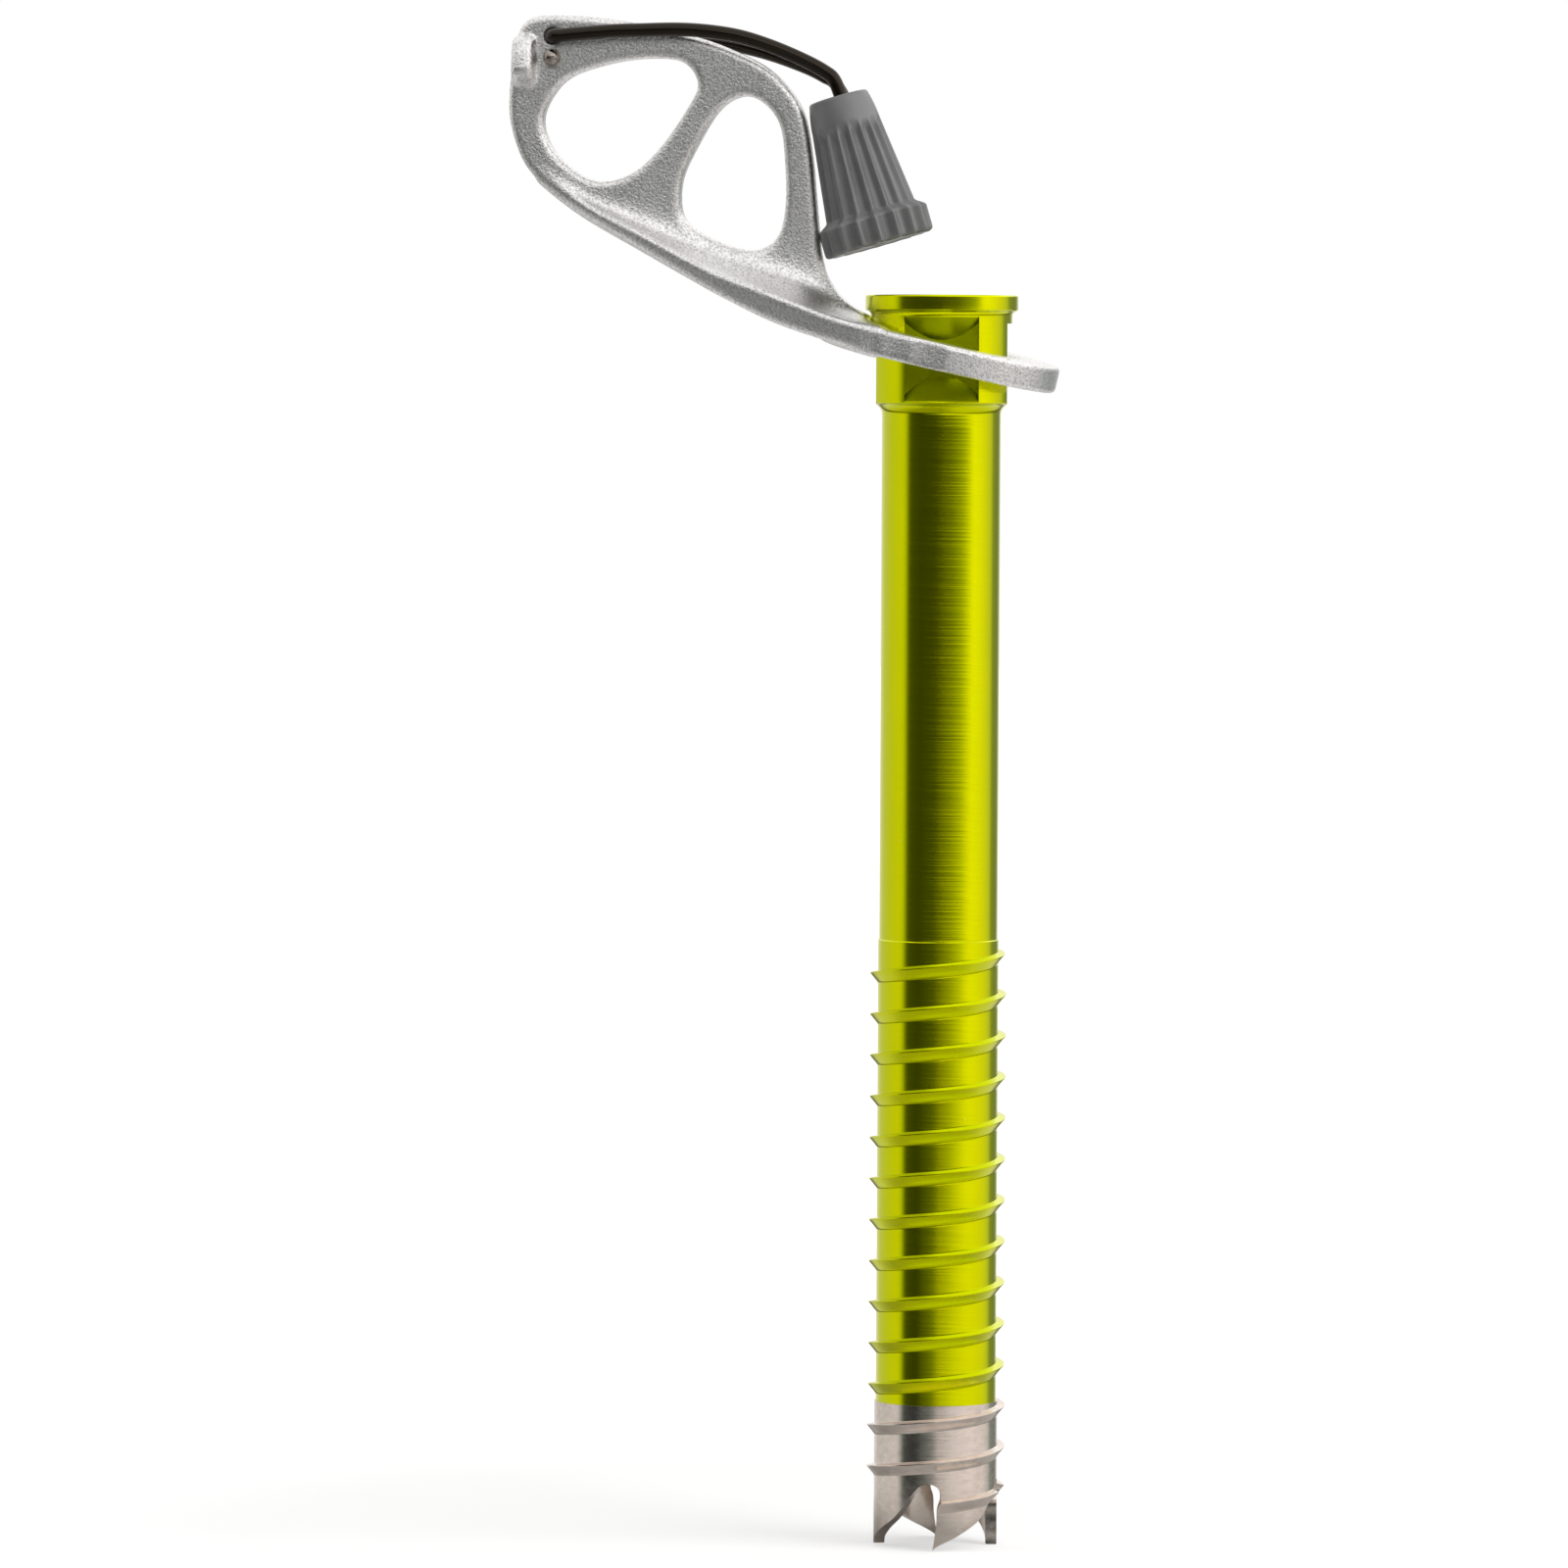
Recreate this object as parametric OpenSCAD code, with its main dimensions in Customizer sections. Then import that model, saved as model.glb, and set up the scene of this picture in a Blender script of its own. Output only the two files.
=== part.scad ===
// Ice climbing screw: a hollow threaded aluminium tube with a hardened steel cutting tip,
// a loosely held clip hanger on its milled head, and a fold-out wire crank with a free knob.
// The origin is on the tube's axis at the shoulder under the head, where the screw meets the ice.

/* [Tube] */
// Outer diameter of the plain tube
tube_d = 17; // [16.8:0.1:17.2]
// Bore that runs right through the screw
bore_d = 14.5; // [14:0.1:14.6]
// Length from the shoulder under the head to the tips of the teeth
reach = 164; // [140:1:220]
// Diameter of the aluminium between the thread ridges
root_d = 17.3; // [17.2:0.05:17.5]

/* [Head] */
// Height of the head above its shoulder
head_h = 15.5; // [15:0.5:17]
// Diameter of the head below its flange
head_d = 20.2; // [20:0.1:20.4]
// Diameter of the flange on top
flange_d = 21.9; // [21.8:0.1:23]
// Thickness of the flange
flange_t = 2.2; // [1.8:0.1:2.6]
// Radius of the hollow curve from the shoulder down to the tube
shoulder_fillet = 1.6; // [1.2:0.1:1.6]
// Distance across the two side flats
side_flats = 18.7; // [18.4:0.1:19.2]
// Distance across the floors of the front and back drive pockets
pocket_floors = 15.8; // [15.7:0.1:16]
// Width of a drive pocket
pocket_w = 10.6; // [10:0.2:11]
// Height of the flat part of a pocket's floor
pocket_flat_h = 5; // [4.6:0.2:5.6]

/* [Thread] */
// Rise of the thread in one turn
thread_pitch = 5.92; // [5:0.1:7]
// Diameter over the thread on the aluminium
thread_d = 19.6; // [19:0.1:20.4]
// Depth of the first crest below the shoulder
thread_start = 77.2; // [60:1:90]
// Height of the steep upper flank
upper_flank = 0.35; // [0.2:0.05:0.6]
// Height of the sloping lower flank
lower_flank = 1.6; // [1:0.1:2]

/* [Cutting tip] */
// Length of the steel tip, without its spigot
tip_len = 20.8; // [19:0.1:24]
// Diameter of the steel between the thread ridges
tip_d = 17.7; // [17.4:0.1:18]
// Diameter over the thread on the steel
tip_thread_d = 19.8; // [19.4:0.1:20.4]
// Length of the spigot inside the tube
spigot_len = 8; // [5:0.5:12]
// Wall of the spigot
spigot_wall = 0.6; // [0.5:0.05:0.7]
// Number of teeth
teeth = 4; // [3:1:5]
// Height of a tooth, from its tip to the top of the gap behind it
tooth_h = 9.6; // [8:0.1:10]
// Height above the tooth tips at which the thread ends
thread_stop = 7; // [6:0.5:8]

/* [Hanger] */
// Outer diameter of the ring round the head
ring_d = 34; // [33:0.5:36]
// Thickness of the ring
ring_t = 3.9; // [3.5:0.1:4.1]
// Hole in the ring
ring_hole_d = 21.6; // [21.5:0.1:21.8]
// Rounding of the hole's edges
hole_round = 1.1; // [1:0.1:1.3]
// Thickness of the upright clip plate
plate_t = 4; // [3.5:0.1:4.4]
// Width of the two lugs that key into the drive pockets
lug_w = 6; // [5:0.2:6.4]
// Height of the ring's middle above the shoulder
ring_h = 7.15; // [6.9:0.05:7.4]
// Tilt of the hanger on the head, right side down
hanger_tilt = 13; // [12:0.5:13.5]
// Turn of the hanger on the head, clockwise from above
hanger_turn = 6.5; // [0:0.5:7]
// Lean of the hanger towards its front
hanger_lean = 0.8; // [0:0.2:1.6]

/* [Crank] */
// Diameter of the coated crank wire
wire_d = 2; // [1.8:0.1:2.2]
// Diameter at which the knob's cone would meet its top face
knob_top_d = 9; // [8.4:0.1:9.2]
// Diameter of the knob just above its rim
knob_low_d = 13.2; // [12.4:0.1:13.4]
// Diameter over the rim of the knob
knob_rim_d = 16.1; // [15:0.1:16.2]
// Length of the knob
knob_len = 22; // [21:0.1:23]
// Height of the knob's rim
knob_rim_h = 4.8; // [4:0.1:5]
// Number of grip flutes
flutes = 18; // [12:1:20]
// Diameter of the knob's steel spindle
spindle_d = 5.4; // [5.2:0.1:5.6]
// Diameter of the ball on the stop rivet
rivet_ball_d = 2.3; // [2:0.1:3]

/* [Hidden] */
$fn = 72;

// Running clearance of a turning fit, and the gap kept between loose faces
running_gap = 0.06;
loose_gap = 0.3;
// Thickness of the bond line between the spigot and the tube
bond_gap = 0.04;
// How far a cutter runs past the face that it cuts
past = 1;

tube_r = tube_d / 2;
bore_r = bore_d / 2;
root_r = root_d / 2;
tip_r = tip_d / 2;
head_r = head_d / 2;
flange_r = flange_d / 2;
neck_fillet = flange_r - head_r;
pocket_y = pocket_floors / 2;
seam_z = -(reach - tip_len);
tips_z = -reach;

// Edge rounding of the flange and of the ring's rim
flange_round = 0.3;
rim_round = 0.7;
// Heights of a drive pocket's lower end and of the middle of its floor
pocket_low = 0.2;
pocket_mid = 6.55;
// How far below the neck's fillet the side flats end
flats_below_neck = 0.95;
// How far the lugs stop short of the pocket floors, and of the ring's two faces
lug_clear = 0.7;
lug_inset = 0.25;
// How far in from the ring's rim the lugs are rooted
lug_root = 2;
// Crimp marks pressed into the ring's front and back
press_r = 14;
press_depth = 0.45;

// Steps of the thread per turn, and the turn over which its ridge fades in
thread_steps = 36;
run_in = 110;
// Azimuth of the first crest, counter-clockwise from the right
thread_azimuth = 90;
thread_sink = 0.35;
crest_flat = 0.12;
thread_turns = (reach - thread_stop - thread_start) / thread_pitch;

// Outline of the clip plate in the hanger's own frame, along the arm's underside from the ring,
// round the nose and back along the top to the ring
plate_line = [[-9, -1.6], [-15, -1.4], [-22, -1], [-31.5, 0.7], [-38, 2.4], [-46, 4.75],
              [-53.7, 7.05], [-58.1, 8.7], [-62.1, 10.7], [-65.2, 13.1], [-67.9, 17.3],
              [-69.2, 21.3], [-69.9, 26.9], [-70, 30.6], [-68.9, 33.1], [-66.2, 34.3],
              [-60.5, 35.4], [-53.2, 36.1], [-46.7, 36.1], [-40.7, 35.65], [-34.1, 34.2],
              [-29.8, 31.75], [-26.9, 28.5], [-24.6, 23.2], [-22.9, 17.9], [-21.5, 13.2],
              [-20.3, 9.2], [-18.5, 5.75], [-15.1, 3.25], [-9, 1.6]];
// Outlines of the two clip holes
outer_hole = [[-63.7, 20.9], [-61.7, 25.75], [-57.05, 28.95], [-51.5, 31.25], [-45.9, 32.1],
              [-43, 29.65], [-43.6, 26], [-46.25, 19.3], [-49.5, 14.7], [-54.2, 12.6],
              [-59.5, 14.25], [-62.7, 17.2]];
inner_hole = [[-42.15, 14.9], [-41.3, 20.2], [-38.85, 27], [-35, 29.5], [-30.5, 27.1], [-28, 21],
              [-26.5, 14.8], [-26.75, 10.5], [-29.8, 8], [-35.3, 8.2], [-40.45, 10.15]];
// Height of the arm's underside, height of its front edge and top of its inner curve, against x
arm_under = [[-62, 10.75], [-54, 7.35], [-46, 5], [-38, 2.65], [-31.5, 0.8], [-22, -1.05],
             [-15, -1.6], [-8, -1.9]];
arm_edge = [[-62, 1.6], [-54, 2], [-46, 2.4], [-38, 2.75], [-31.5, 3.3], [-26, 3.9], [-22, 4],
            [-15, 3.75], [-8, 3.75]];
arm_curve_top = [[-62, 12.6], [-54, 9.8], [-46, 9.6], [-38, 9], [-31.5, 8.2], [-26, 8], [-22, 7.5],
                 [-18.5, 6], [-14.5, 3.6], [-8, 2]];
arm_left = -62;
arm_right = -8;
arm_edge_round = 0.5;
// How far inside the plate's face the arm's front begins
arm_inset = 0.3;
arm_start_y = plate_t / 2 - arm_inset;

// The crank's pivot and the route of its wire in the plane of the plate, pivot first
pivot = [-65, 31.5];
wire_route = [[-57, 34], [-52.5, 35.2], [-47.3, 36.5], [-42.8, 37.25], [-38.2, 37.55],
              [-33.4, 37.15], [-28.7, 36.3], [-25.6, 35.45], [-23.9, 34.55]];
knob_top = [-23, 32.3];
knob_bottom_aim = [-12.3, 13.2];
// How far the strands run off the knob's axis inside the spindle, and the web left between them
strand_offset = 0.6;
strand_web = 0.3;
socket_depth = 2;
// Slope at which the strands leave the pivot
wire_start_angle = 15;
wire_start = [cos(wire_start_angle), sin(wire_start_angle)];
wire_r = wire_d / 2;
socket_r = wire_r + bond_gap;
socket_y = socket_r + strand_web / 2;
wire_bend = wire_r + 0.15;
strand_y = plate_t / 2 + loose_gap + wire_r;
wire_sides = 16;
// Where the two strands begin to close in on each other
strands_close_x = -40;
// How far the back strand runs below the front one, against x
back_sag = [[-60, 0], [-52, 0.8], [-44, 1.4], [-37.5, 1.4], [-32, 1.1], [-28, 0.85], [-25.5, 0.75],
            [-23.4, 0.4], [-22.6, 0]];

// Nose lip that stops the crank, in the hanger's own frame
lip_x = -67.7;
lip_w = 2.9;
lip_low = 25.9;
lip_h = 5.4;
lip_reach = 3.4;
lip_turn = -13;

rivet_at = [-64.3, 28.5];
rivet_shank_d = 1.6;
rivet_tail_h = 0.5;
rivet_neck = 0.8;

// The knob is drawn along +Z from its top face at zero down to minus its length
knob_opening_r = 2 * wire_r + 0.45;
spindle_r = spindle_d / 2;
spindle_top = 1.6;
spindle_floor = 13.6;
washer_t = 0.8;
spindle_head_t = 1.4;
spindle_head_r = spindle_r + 0.8;
washer_r = spindle_head_r + 0.7;
chamber_r = washer_r + loose_gap;
plug_t = 2;
plug_r = chamber_r + 0.8;
collar_h = 5;
// Depth over which the knob's shoulder rounds off, and how far it comes in at the top
shoulder_h = 3;
shoulder_in = 0.35;
rim_flare = 1.1;
flute_r = 0.75;
flute_sink = 0.25;

knob_angle = atan2(knob_bottom_aim[1] - knob_top[1], knob_bottom_aim[0] - knob_top[0]);
knob_axis = [cos(knob_angle), sin(knob_angle)];
knob_across = [-knob_axis[1], knob_axis[0]];

// Smooth open curve through points, with a number of steps between each two
function curve_point(a, b, c, d, t) =
    0.5 * (2 * b + (c - a) * t + (2 * a - 5 * b + 4 * c - d) * t * t
           + (3 * b - a - 3 * c + d) * t * t * t);
function open_curve(points, steps) = let (n = len(points))
    [for (i = [0 : n - 2], k = [0 : steps - 1])
        curve_point(points[max(i - 1, 0)], points[i], points[i + 1], points[min(i + 2, n - 1)],
                    k / steps),
     points[n - 1]];
function closed_curve(points, steps) = let (n = len(points))
    [for (i = [0 : n - 1], k = [0 : steps - 1])
        curve_point(points[(i + n - 1) % n], points[i], points[(i + 1) % n],
                    points[(i + 2) % n], k / steps)];

// Triangles of a closed skin over rings that all have the same number of points
function skin_faces(rings, sides) = concat(
    [for (i = [0 : rings - 2], j = [0 : sides - 1])
        [i * sides + j, i * sides + (j + 1) % sides, (i + 1) * sides + (j + 1) % sides]],
    [for (i = [0 : rings - 2], j = [0 : sides - 1])
        [i * sides + j, (i + 1) * sides + (j + 1) % sides, (i + 1) * sides + j]],
    [[for (j = [sides - 1 : -1 : 0]) j]],
    [[for (j = [0 : sides - 1]) (rings - 1) * sides + j]]);

// Helical ridge from its first crest down, on a core of radius core_r
module ridge(core_r, crest_r, first_turn, last_turn) {
    steps = ceil((last_turn - first_turn) * thread_steps);
    rings = [for (i = [0 : steps])
        let (turned = 360 * (first_turn + (last_turn - first_turn) * i / steps),
             grown = min(1, turned / run_in),
             azimuth = thread_azimuth - turned,
             z = -thread_start - thread_pitch * turned / 360,
             top_r = core_r - thread_sink / 2 + (crest_r - core_r + thread_sink / 2) * grown,
             low_r = core_r - thread_sink)
        each [for (p = [[low_r, z + upper_flank], [top_r, z], [top_r, z - crest_flat],
                        [low_r, z - lower_flank - thread_sink]])
            [p[0] * cos(azimuth), p[0] * sin(azimuth), p[1]]]];
    polyhedron(points = rings, faces = skin_faces(steps + 1, 4));
}

module drive_pocket() {
    flat_top = pocket_mid + pocket_flat_h / 2;
    flat_low = flat_top - pocket_flat_h;
    pocket_top = head_h - flange_t - neck_fillet;
    ramp_h = pocket_top - flat_top;
    low_ramp_h = flat_low - pocket_low;
    difference() {
        translate([-pocket_w / 2, -head_r - past, pocket_low])
            cube([pocket_w, head_r + past - pocket_y, pocket_top - pocket_low]);
        translate([0, 0, flat_top])
            cylinder(h = ramp_h + past, r1 = pocket_y,
                     r2 = pocket_y + (head_r - pocket_y) * (ramp_h + past) / ramp_h);
        translate([0, 0, flat_low - low_ramp_h - past])
            cylinder(h = low_ramp_h + past,
                     r1 = pocket_y + (head_r - pocket_y) * (low_ramp_h + past) / low_ramp_h,
                     r2 = pocket_y);
    }
}

// Half section of the head and the plain tube, to be turned round the axis
module tube_section() {
    flange_low = head_h - flange_t;
    translate([0, flange_low]) square([flange_r, flange_t - flange_round]);
    translate([0, flange_low]) square([flange_r - flange_round, flange_t]);
    translate([flange_r - flange_round, head_h - flange_round]) circle(flange_round);
    square([head_r, flange_low]);
    difference() {
        translate([0, flange_low - neck_fillet]) square([head_r + neck_fillet, neck_fillet + 0.1]);
        translate([head_r + neck_fillet, flange_low - neck_fillet]) circle(neck_fillet);
    }
    difference() {
        translate([0, -shoulder_fillet]) square([head_r, shoulder_fillet]);
        translate([tube_r + shoulder_fillet, -shoulder_fillet]) circle(shoulder_fillet);
    }
    translate([0, -thread_start]) square([tube_r, thread_start]);
    translate([0, seam_z]) square([root_r, -thread_start - seam_z]);
}

module tube_body() {
    color("yellowgreen") difference() {
        union() {
            rotate_extrude() tube_section();
            intersection() {
                ridge(root_r, thread_d / 2, 0, (-seam_z - thread_start) / thread_pitch + 0.6);
                translate([0, 0, seam_z]) cylinder(h = -seam_z, r = thread_d);
            }
        }
        translate([0, 0, seam_z - past]) cylinder(h = head_h - seam_z + 2 * past, r = bore_r);
        translate([0, 0, seam_z - past])
            cylinder(h = spigot_len + bond_gap + past, r = bore_r + spigot_wall + bond_gap);
        for (side = [0, 180]) rotate([0, 0, side]) drive_pocket();
        for (side = [-1, 1])
            translate([side * (side_flats / 2 + head_r) - head_r, -head_r, -2 * shoulder_fillet])
                cube([2 * head_r, 2 * head_r,
                      head_h - flange_t - neck_fillet - flats_below_neck + 2 * shoulder_fillet]);
    }
}

// Gap in front of one tooth, wide at the tips and closing to a round arch with a bulge
// towards the next cutting face; angles are degrees round the axis, heights above the tips
gap_back = [[-0.15, -91.5], [0, -90], [0.22, -66], [0.44, -42], [0.68, -27], [0.87, -18.5],
            [0.97, -11.8], [1, -7]];
gap_face = [[-0.15, -0.6], [0, 0], [0.22, 2.2], [0.44, 4.2], [0.62, 3.8], [0.72, 6.6],
            [0.81, 8.2], [0.9, 6.6], [0.96, 3], [1, -1]];
tip_azimuth = -92.3;

module tooth_gap() {
    levels = [-0.15, 0, 0.11, 0.22, 0.33, 0.44, 0.53, 0.62, 0.68, 0.74, 0.81, 0.87, 0.91, 0.95,
              0.98, 1];
    columns = 12;
    inner = bore_r - past;
    outer = tip_thread_d / 2 + past;
    span = 360 / teeth / 90;
    function side_points(r) = [for (h = levels, i = [0 : columns])
        let (a = lookup(h, gap_back) * span, b = lookup(h, gap_face),
             turn = a + (b - a) * i / columns)
        [r * cos(turn), r * sin(turn), h * tooth_h]];
    n = len(levels) * (columns + 1);
    function at(side, level, column) = side * n + level * (columns + 1) + column;
    last = len(levels) - 1;
    quads = concat(
        [for (l = [0 : last - 1], c = [0 : columns - 1])
            [at(1, l, c), at(1, l + 1, c), at(1, l + 1, c + 1), at(1, l, c + 1)]],
        [for (l = [0 : last - 1], c = [0 : columns - 1])
            [at(0, l, c), at(0, l, c + 1), at(0, l + 1, c + 1), at(0, l + 1, c)]],
        [for (l = [0 : last - 1]) [at(0, l, 0), at(0, l + 1, 0), at(1, l + 1, 0), at(1, l, 0)]],
        [for (l = [0 : last - 1])
            [at(1, l, columns), at(1, l + 1, columns), at(0, l + 1, columns), at(0, l, columns)]],
        [for (c = [0 : columns - 1]) [at(0, 0, c), at(1, 0, c), at(1, 0, c + 1), at(0, 0, c + 1)]],
        [for (c = [0 : columns - 1])
            [at(0, last, c), at(0, last, c + 1), at(1, last, c + 1), at(1, last, c)]]);
    faces = [for (q = quads) each [[q[0], q[1], q[2]], [q[0], q[2], q[3]]]];
    polyhedron(points = concat(side_points(inner), side_points(outer)), faces = faces);
}

module cutting_tip() {
    color("silver") difference() {
        union() {
            translate([0, 0, tips_z]) cylinder(h = tip_len, r = tip_r);
            translate([0, 0, seam_z - past])
                cylinder(h = spigot_len + past, r = bore_r + spigot_wall);
            intersection() {
                ridge(tip_r, tip_thread_d / 2, (-seam_z - thread_start) / thread_pitch - 0.5,
                      thread_turns);
                translate([0, 0, tips_z]) cylinder(h = tip_len, r = tip_thread_d);
            }
        }
        translate([0, 0, tips_z - past])
            cylinder(h = tip_len + spigot_len + 2 * past, r = bore_r);
        for (k = [0 : teeth - 1])
            translate([0, 0, tips_z]) rotate([0, 0, tip_azimuth + 360 * k / teeth]) tooth_gap();
    }
}

// From the hanger's own frame, with the ring flat, to its place on the head
module on_head() {
    translate([0, 0, ring_h]) rotate([0, 0, -hanger_turn]) rotate([0, hanger_tilt, 0])
        rotate([hanger_lean, 0, 0]) children();
}

// Arm that runs from the ring to the plate, with its inner curve up the plate's face
module arm() {
    ring_r = ring_d / 2;
    reach_out = norm([arm_left, arm_start_y]);
    touch = 180 + atan2(arm_start_y, -arm_left) + acos(ring_r / reach_out);
    meet = [ring_r * cos(touch), ring_r * sin(touch)];
    function front_y(x) = -arm_start_y
        + (meet[1] + arm_start_y) * (x - arm_left) / (meet[0] - arm_left);
    stations = 27;
    arc = 6;
    r = arm_edge_round;
    section = [for (i = [0 : stations])
        let (x = arm_left + (arm_right - arm_left) * i / stations, y = front_y(x),
             low = lookup(x, arm_under), edge = low + lookup(x, arm_edge),
             top = max(lookup(x, arm_curve_top), edge + 0.05))
        each concat([[x, 0, low], [x, y + r, low], [x, y, low + r], [x, y, edge - r / 2],
                     [x, y + r, edge]],
                    [for (k = [1 : arc]) let (t = 90 * k / arc)
                        [x, y + r + (-plate_t / 2 - y - r) * sin(t),
                         edge + (top - edge) * (1 - cos(t))]],
                    [[x, 0, top]])];
    polyhedron(points = section, faces = skin_faces(stations + 1, arc + 6));
}

module rounded_ring() {
    low = -ring_t / 2;
    rotate_extrude($fn = 96) {
        translate([0, low]) square([ring_d / 2 - rim_round, ring_t]);
        translate([0, low + rim_round]) square([ring_d / 2, ring_t - 2 * rim_round]);
        for (side = [-1, 1])
            translate([ring_d / 2 - rim_round, side * (ring_t / 2 - rim_round)])
                circle(rim_round);
    }
}

// What the hole takes out: a cylinder that opens with round edges above and below
module head_hole() {
    r = ring_hole_d / 2;
    tall = 12;
    rotate_extrude($fn = 96) difference() {
        translate([0, -tall / 2]) square([r + hole_round, tall]);
        translate([r, -(ring_t / 2 - hole_round)])
            square([hole_round + past, ring_t - 2 * hole_round]);
        for (side = [-1, 1])
            translate([r + hole_round, side * (ring_t / 2 - hole_round)]) circle(hole_round);
    }
}

module upright(points) {
    rotate([90, 0, 0]) linear_extrude(plate_t, center = true) polygon(points);
}

module hanger() {
    lug_face = pocket_y + lug_clear;
    lug_len = ring_d / 2 - lug_root - lug_face;
    color("gainsboro") on_head() {
        difference() {
            union() {
                rounded_ring();
                upright(open_curve(plate_line, 5));
                arm();
            }
            head_hole();
            for (hole = [outer_hole, inner_hole])
                rotate([90, 0, 0]) linear_extrude(2 * plate_t, center = true)
                    polygon(closed_curve(hole, 6));
            translate([pivot[0], 0, pivot[1]]) rotate([90, 0, 0])
                cylinder(h = 2 * plate_t, r = wire_r + running_gap, center = true);
            translate([rivet_at[0], 0, rivet_at[1]]) rotate([90, 0, 0])
                cylinder(h = 2 * plate_t, d = rivet_shank_d, center = true);
            for (side = [-1, 1])
                translate([0, side * (ring_d / 2 - press_depth + press_r), -ring_t])
                    cylinder(h = 2 * ring_t, r = press_r);
        }
        for (side = [-1, 1])
            translate([-lug_w / 2, side > 0 ? lug_face : -lug_face - lug_len, lug_inset - ring_t / 2])
                cube([lug_w, lug_len, ring_t - 2 * lug_inset]);
        nose_lip();
    }
}

// Turned-out lip at the nose, on which the opened crank comes to rest
module nose_lip() {
    r = lip_w / 2;
    translate([lip_x, 0, lip_low]) rotate([0, lip_turn, 0]) {
        translate([-r, -plate_t / 2 - lip_reach + r, 0])
            cube([lip_w, lip_reach, lip_h - r]);
        translate([0, -plate_t / 2 - lip_reach + r, 0])
            cylinder(h = lip_h - r, r = r);
        translate([0, -plate_t / 2 - lip_reach + r, lip_h - r]) sphere(r, $fn = 36);
        translate([0, 0, lip_h - r]) rotate([90, 0, 0])
            cylinder(h = plate_t / 2 + lip_reach - r, r = r);
    }
}

module stop_rivet() {
    ball_r = rivet_ball_d / 2;
    color("dimgray") on_head() translate([rivet_at[0], 0, rivet_at[1]]) rotate([90, 0, 0]) {
        translate([0, 0, -plate_t / 2 - rivet_tail_h / 2])
            cylinder(h = plate_t + rivet_tail_h / 2 + ball_r, d = rivet_shank_d);
        translate([0, 0, plate_t / 2 + ball_r * rivet_neck]) sphere(ball_r, $fn = 36);
        translate([0, 0, -plate_t / 2 - rivet_tail_h])
            cylinder(h = rivet_tail_h, d = rivet_shank_d + 1);
    }
}

// Smooth route of one strand, from the bend at the pivot into the spindle
function strand_route(side) =
    let (entry = knob_top + strand_offset * knob_across,
         flat = open_curve(concat([pivot + wire_bend * wire_start], wire_route,
                          [entry + 0.6 * knob_axis, entry + spindle_top * knob_axis,
                           entry + (spindle_top + socket_depth) * knob_axis]), 4),
         span = knob_top[0] - strands_close_x)
    [for (p = flat)
        let (t = min(1, max(0, (p[0] - strands_close_x) / span)),
             ease = t * t * (3 - 2 * t),
             drop = side > 0 ? lookup(p[0], back_sag) : 0)
        [p[0], side * (strand_y + (socket_y - strand_y) * ease), p[1] - drop]];

// Quarter bend from the pivot's axis out to where that strand starts
function bend_route(side) =
    [for (t = [0 : 18 : 72])
        let (p = pivot + wire_bend * (1 - cos(t)) * wire_start)
        [p[0], side * (strand_y - wire_bend * (1 - sin(t))), p[1]]];

function reversed(points) = [for (i = [len(points) - 1 : -1 : 0]) points[i]];

// Round bar along a route; its rings keep one side turned up, also where the route runs along Y
module sweep(route, r, sides) {
    n = len(route);
    function unit(v) = v / norm(v);
    function upward(v) = norm(v) < 0.01 ? [-wire_start[1], 0, wire_start[0]]
        : (v[2] < 0 ? -1 : 1) * unit(v);
    rings = [for (i = [0 : n - 1])
        let (along = unit(route[min(i + 1, n - 1)] - route[max(i - 1, 0)]),
             across = upward(cross(along, [0, 1, 0])), third = cross(along, across))
        each [for (j = [0 : sides - 1]) let (a = -360 * j / sides)
            route[i] + r * (cos(a) * across + sin(a) * third)]];
    polyhedron(points = rings, faces = skin_faces(n, sides));
}

// One length of wire, doubled: through the plate at the pivot and back along both its faces
module handle_wire() {
    route = concat(reversed(strand_route(1)), reversed(bend_route(1)), bend_route(-1),
                   strand_route(-1));
    color("black") on_head() sweep(route, wire_r, wire_sides);
}

// From the knob's own frame, with its top face at zero and +Z out of it, to its place
module at_knob() {
    on_head() translate([knob_top[0], 0, knob_top[1]]) rotate([0, -knob_angle - 90, 0]) children();
}

module knob_spindle() {
    color("gray") at_knob() difference() {
        union() {
            translate([0, 0, -spindle_floor - washer_t - running_gap])
                cylinder(h = spindle_floor + washer_t + running_gap - spindle_top, r = spindle_r);
            translate([0, 0, -spindle_floor - washer_t - running_gap - spindle_head_t])
                cylinder(h = spindle_head_t, r = spindle_head_r);
        }
        for (side = [-1, 1])
            translate([strand_offset, side * socket_y, -spindle_top - socket_depth])
                cylinder(h = socket_depth + past, r = socket_r);
    }
}

module spindle_washer() {
    color("silver") at_knob() difference() {
        translate([0, 0, -spindle_floor - washer_t]) cylinder(h = washer_t, r = washer_r);
        translate([0, 0, -spindle_floor - washer_t - past])
            cylinder(h = washer_t + 2 * past, r = spindle_r + running_gap);
    }
}

module knob_section() {
    top_r = knob_top_d / 2;
    low_r = knob_low_d / 2;
    rim_r = knob_rim_d / 2;
    rim_top = -knob_len + knob_rim_h;
    cone_r = top_r + (low_r - top_r) * shoulder_h / (knob_len - knob_rim_h);
    polygon([[0, 0], [top_r - 2 * shoulder_in, 0], [top_r - shoulder_in, -shoulder_in],
             [cone_r, -shoulder_h], [low_r, rim_top],
             [rim_r, rim_top - rim_flare], [rim_r, -knob_len + 0.6], [rim_r - 0.6, -knob_len],
             [0, -knob_len]]);
}

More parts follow.
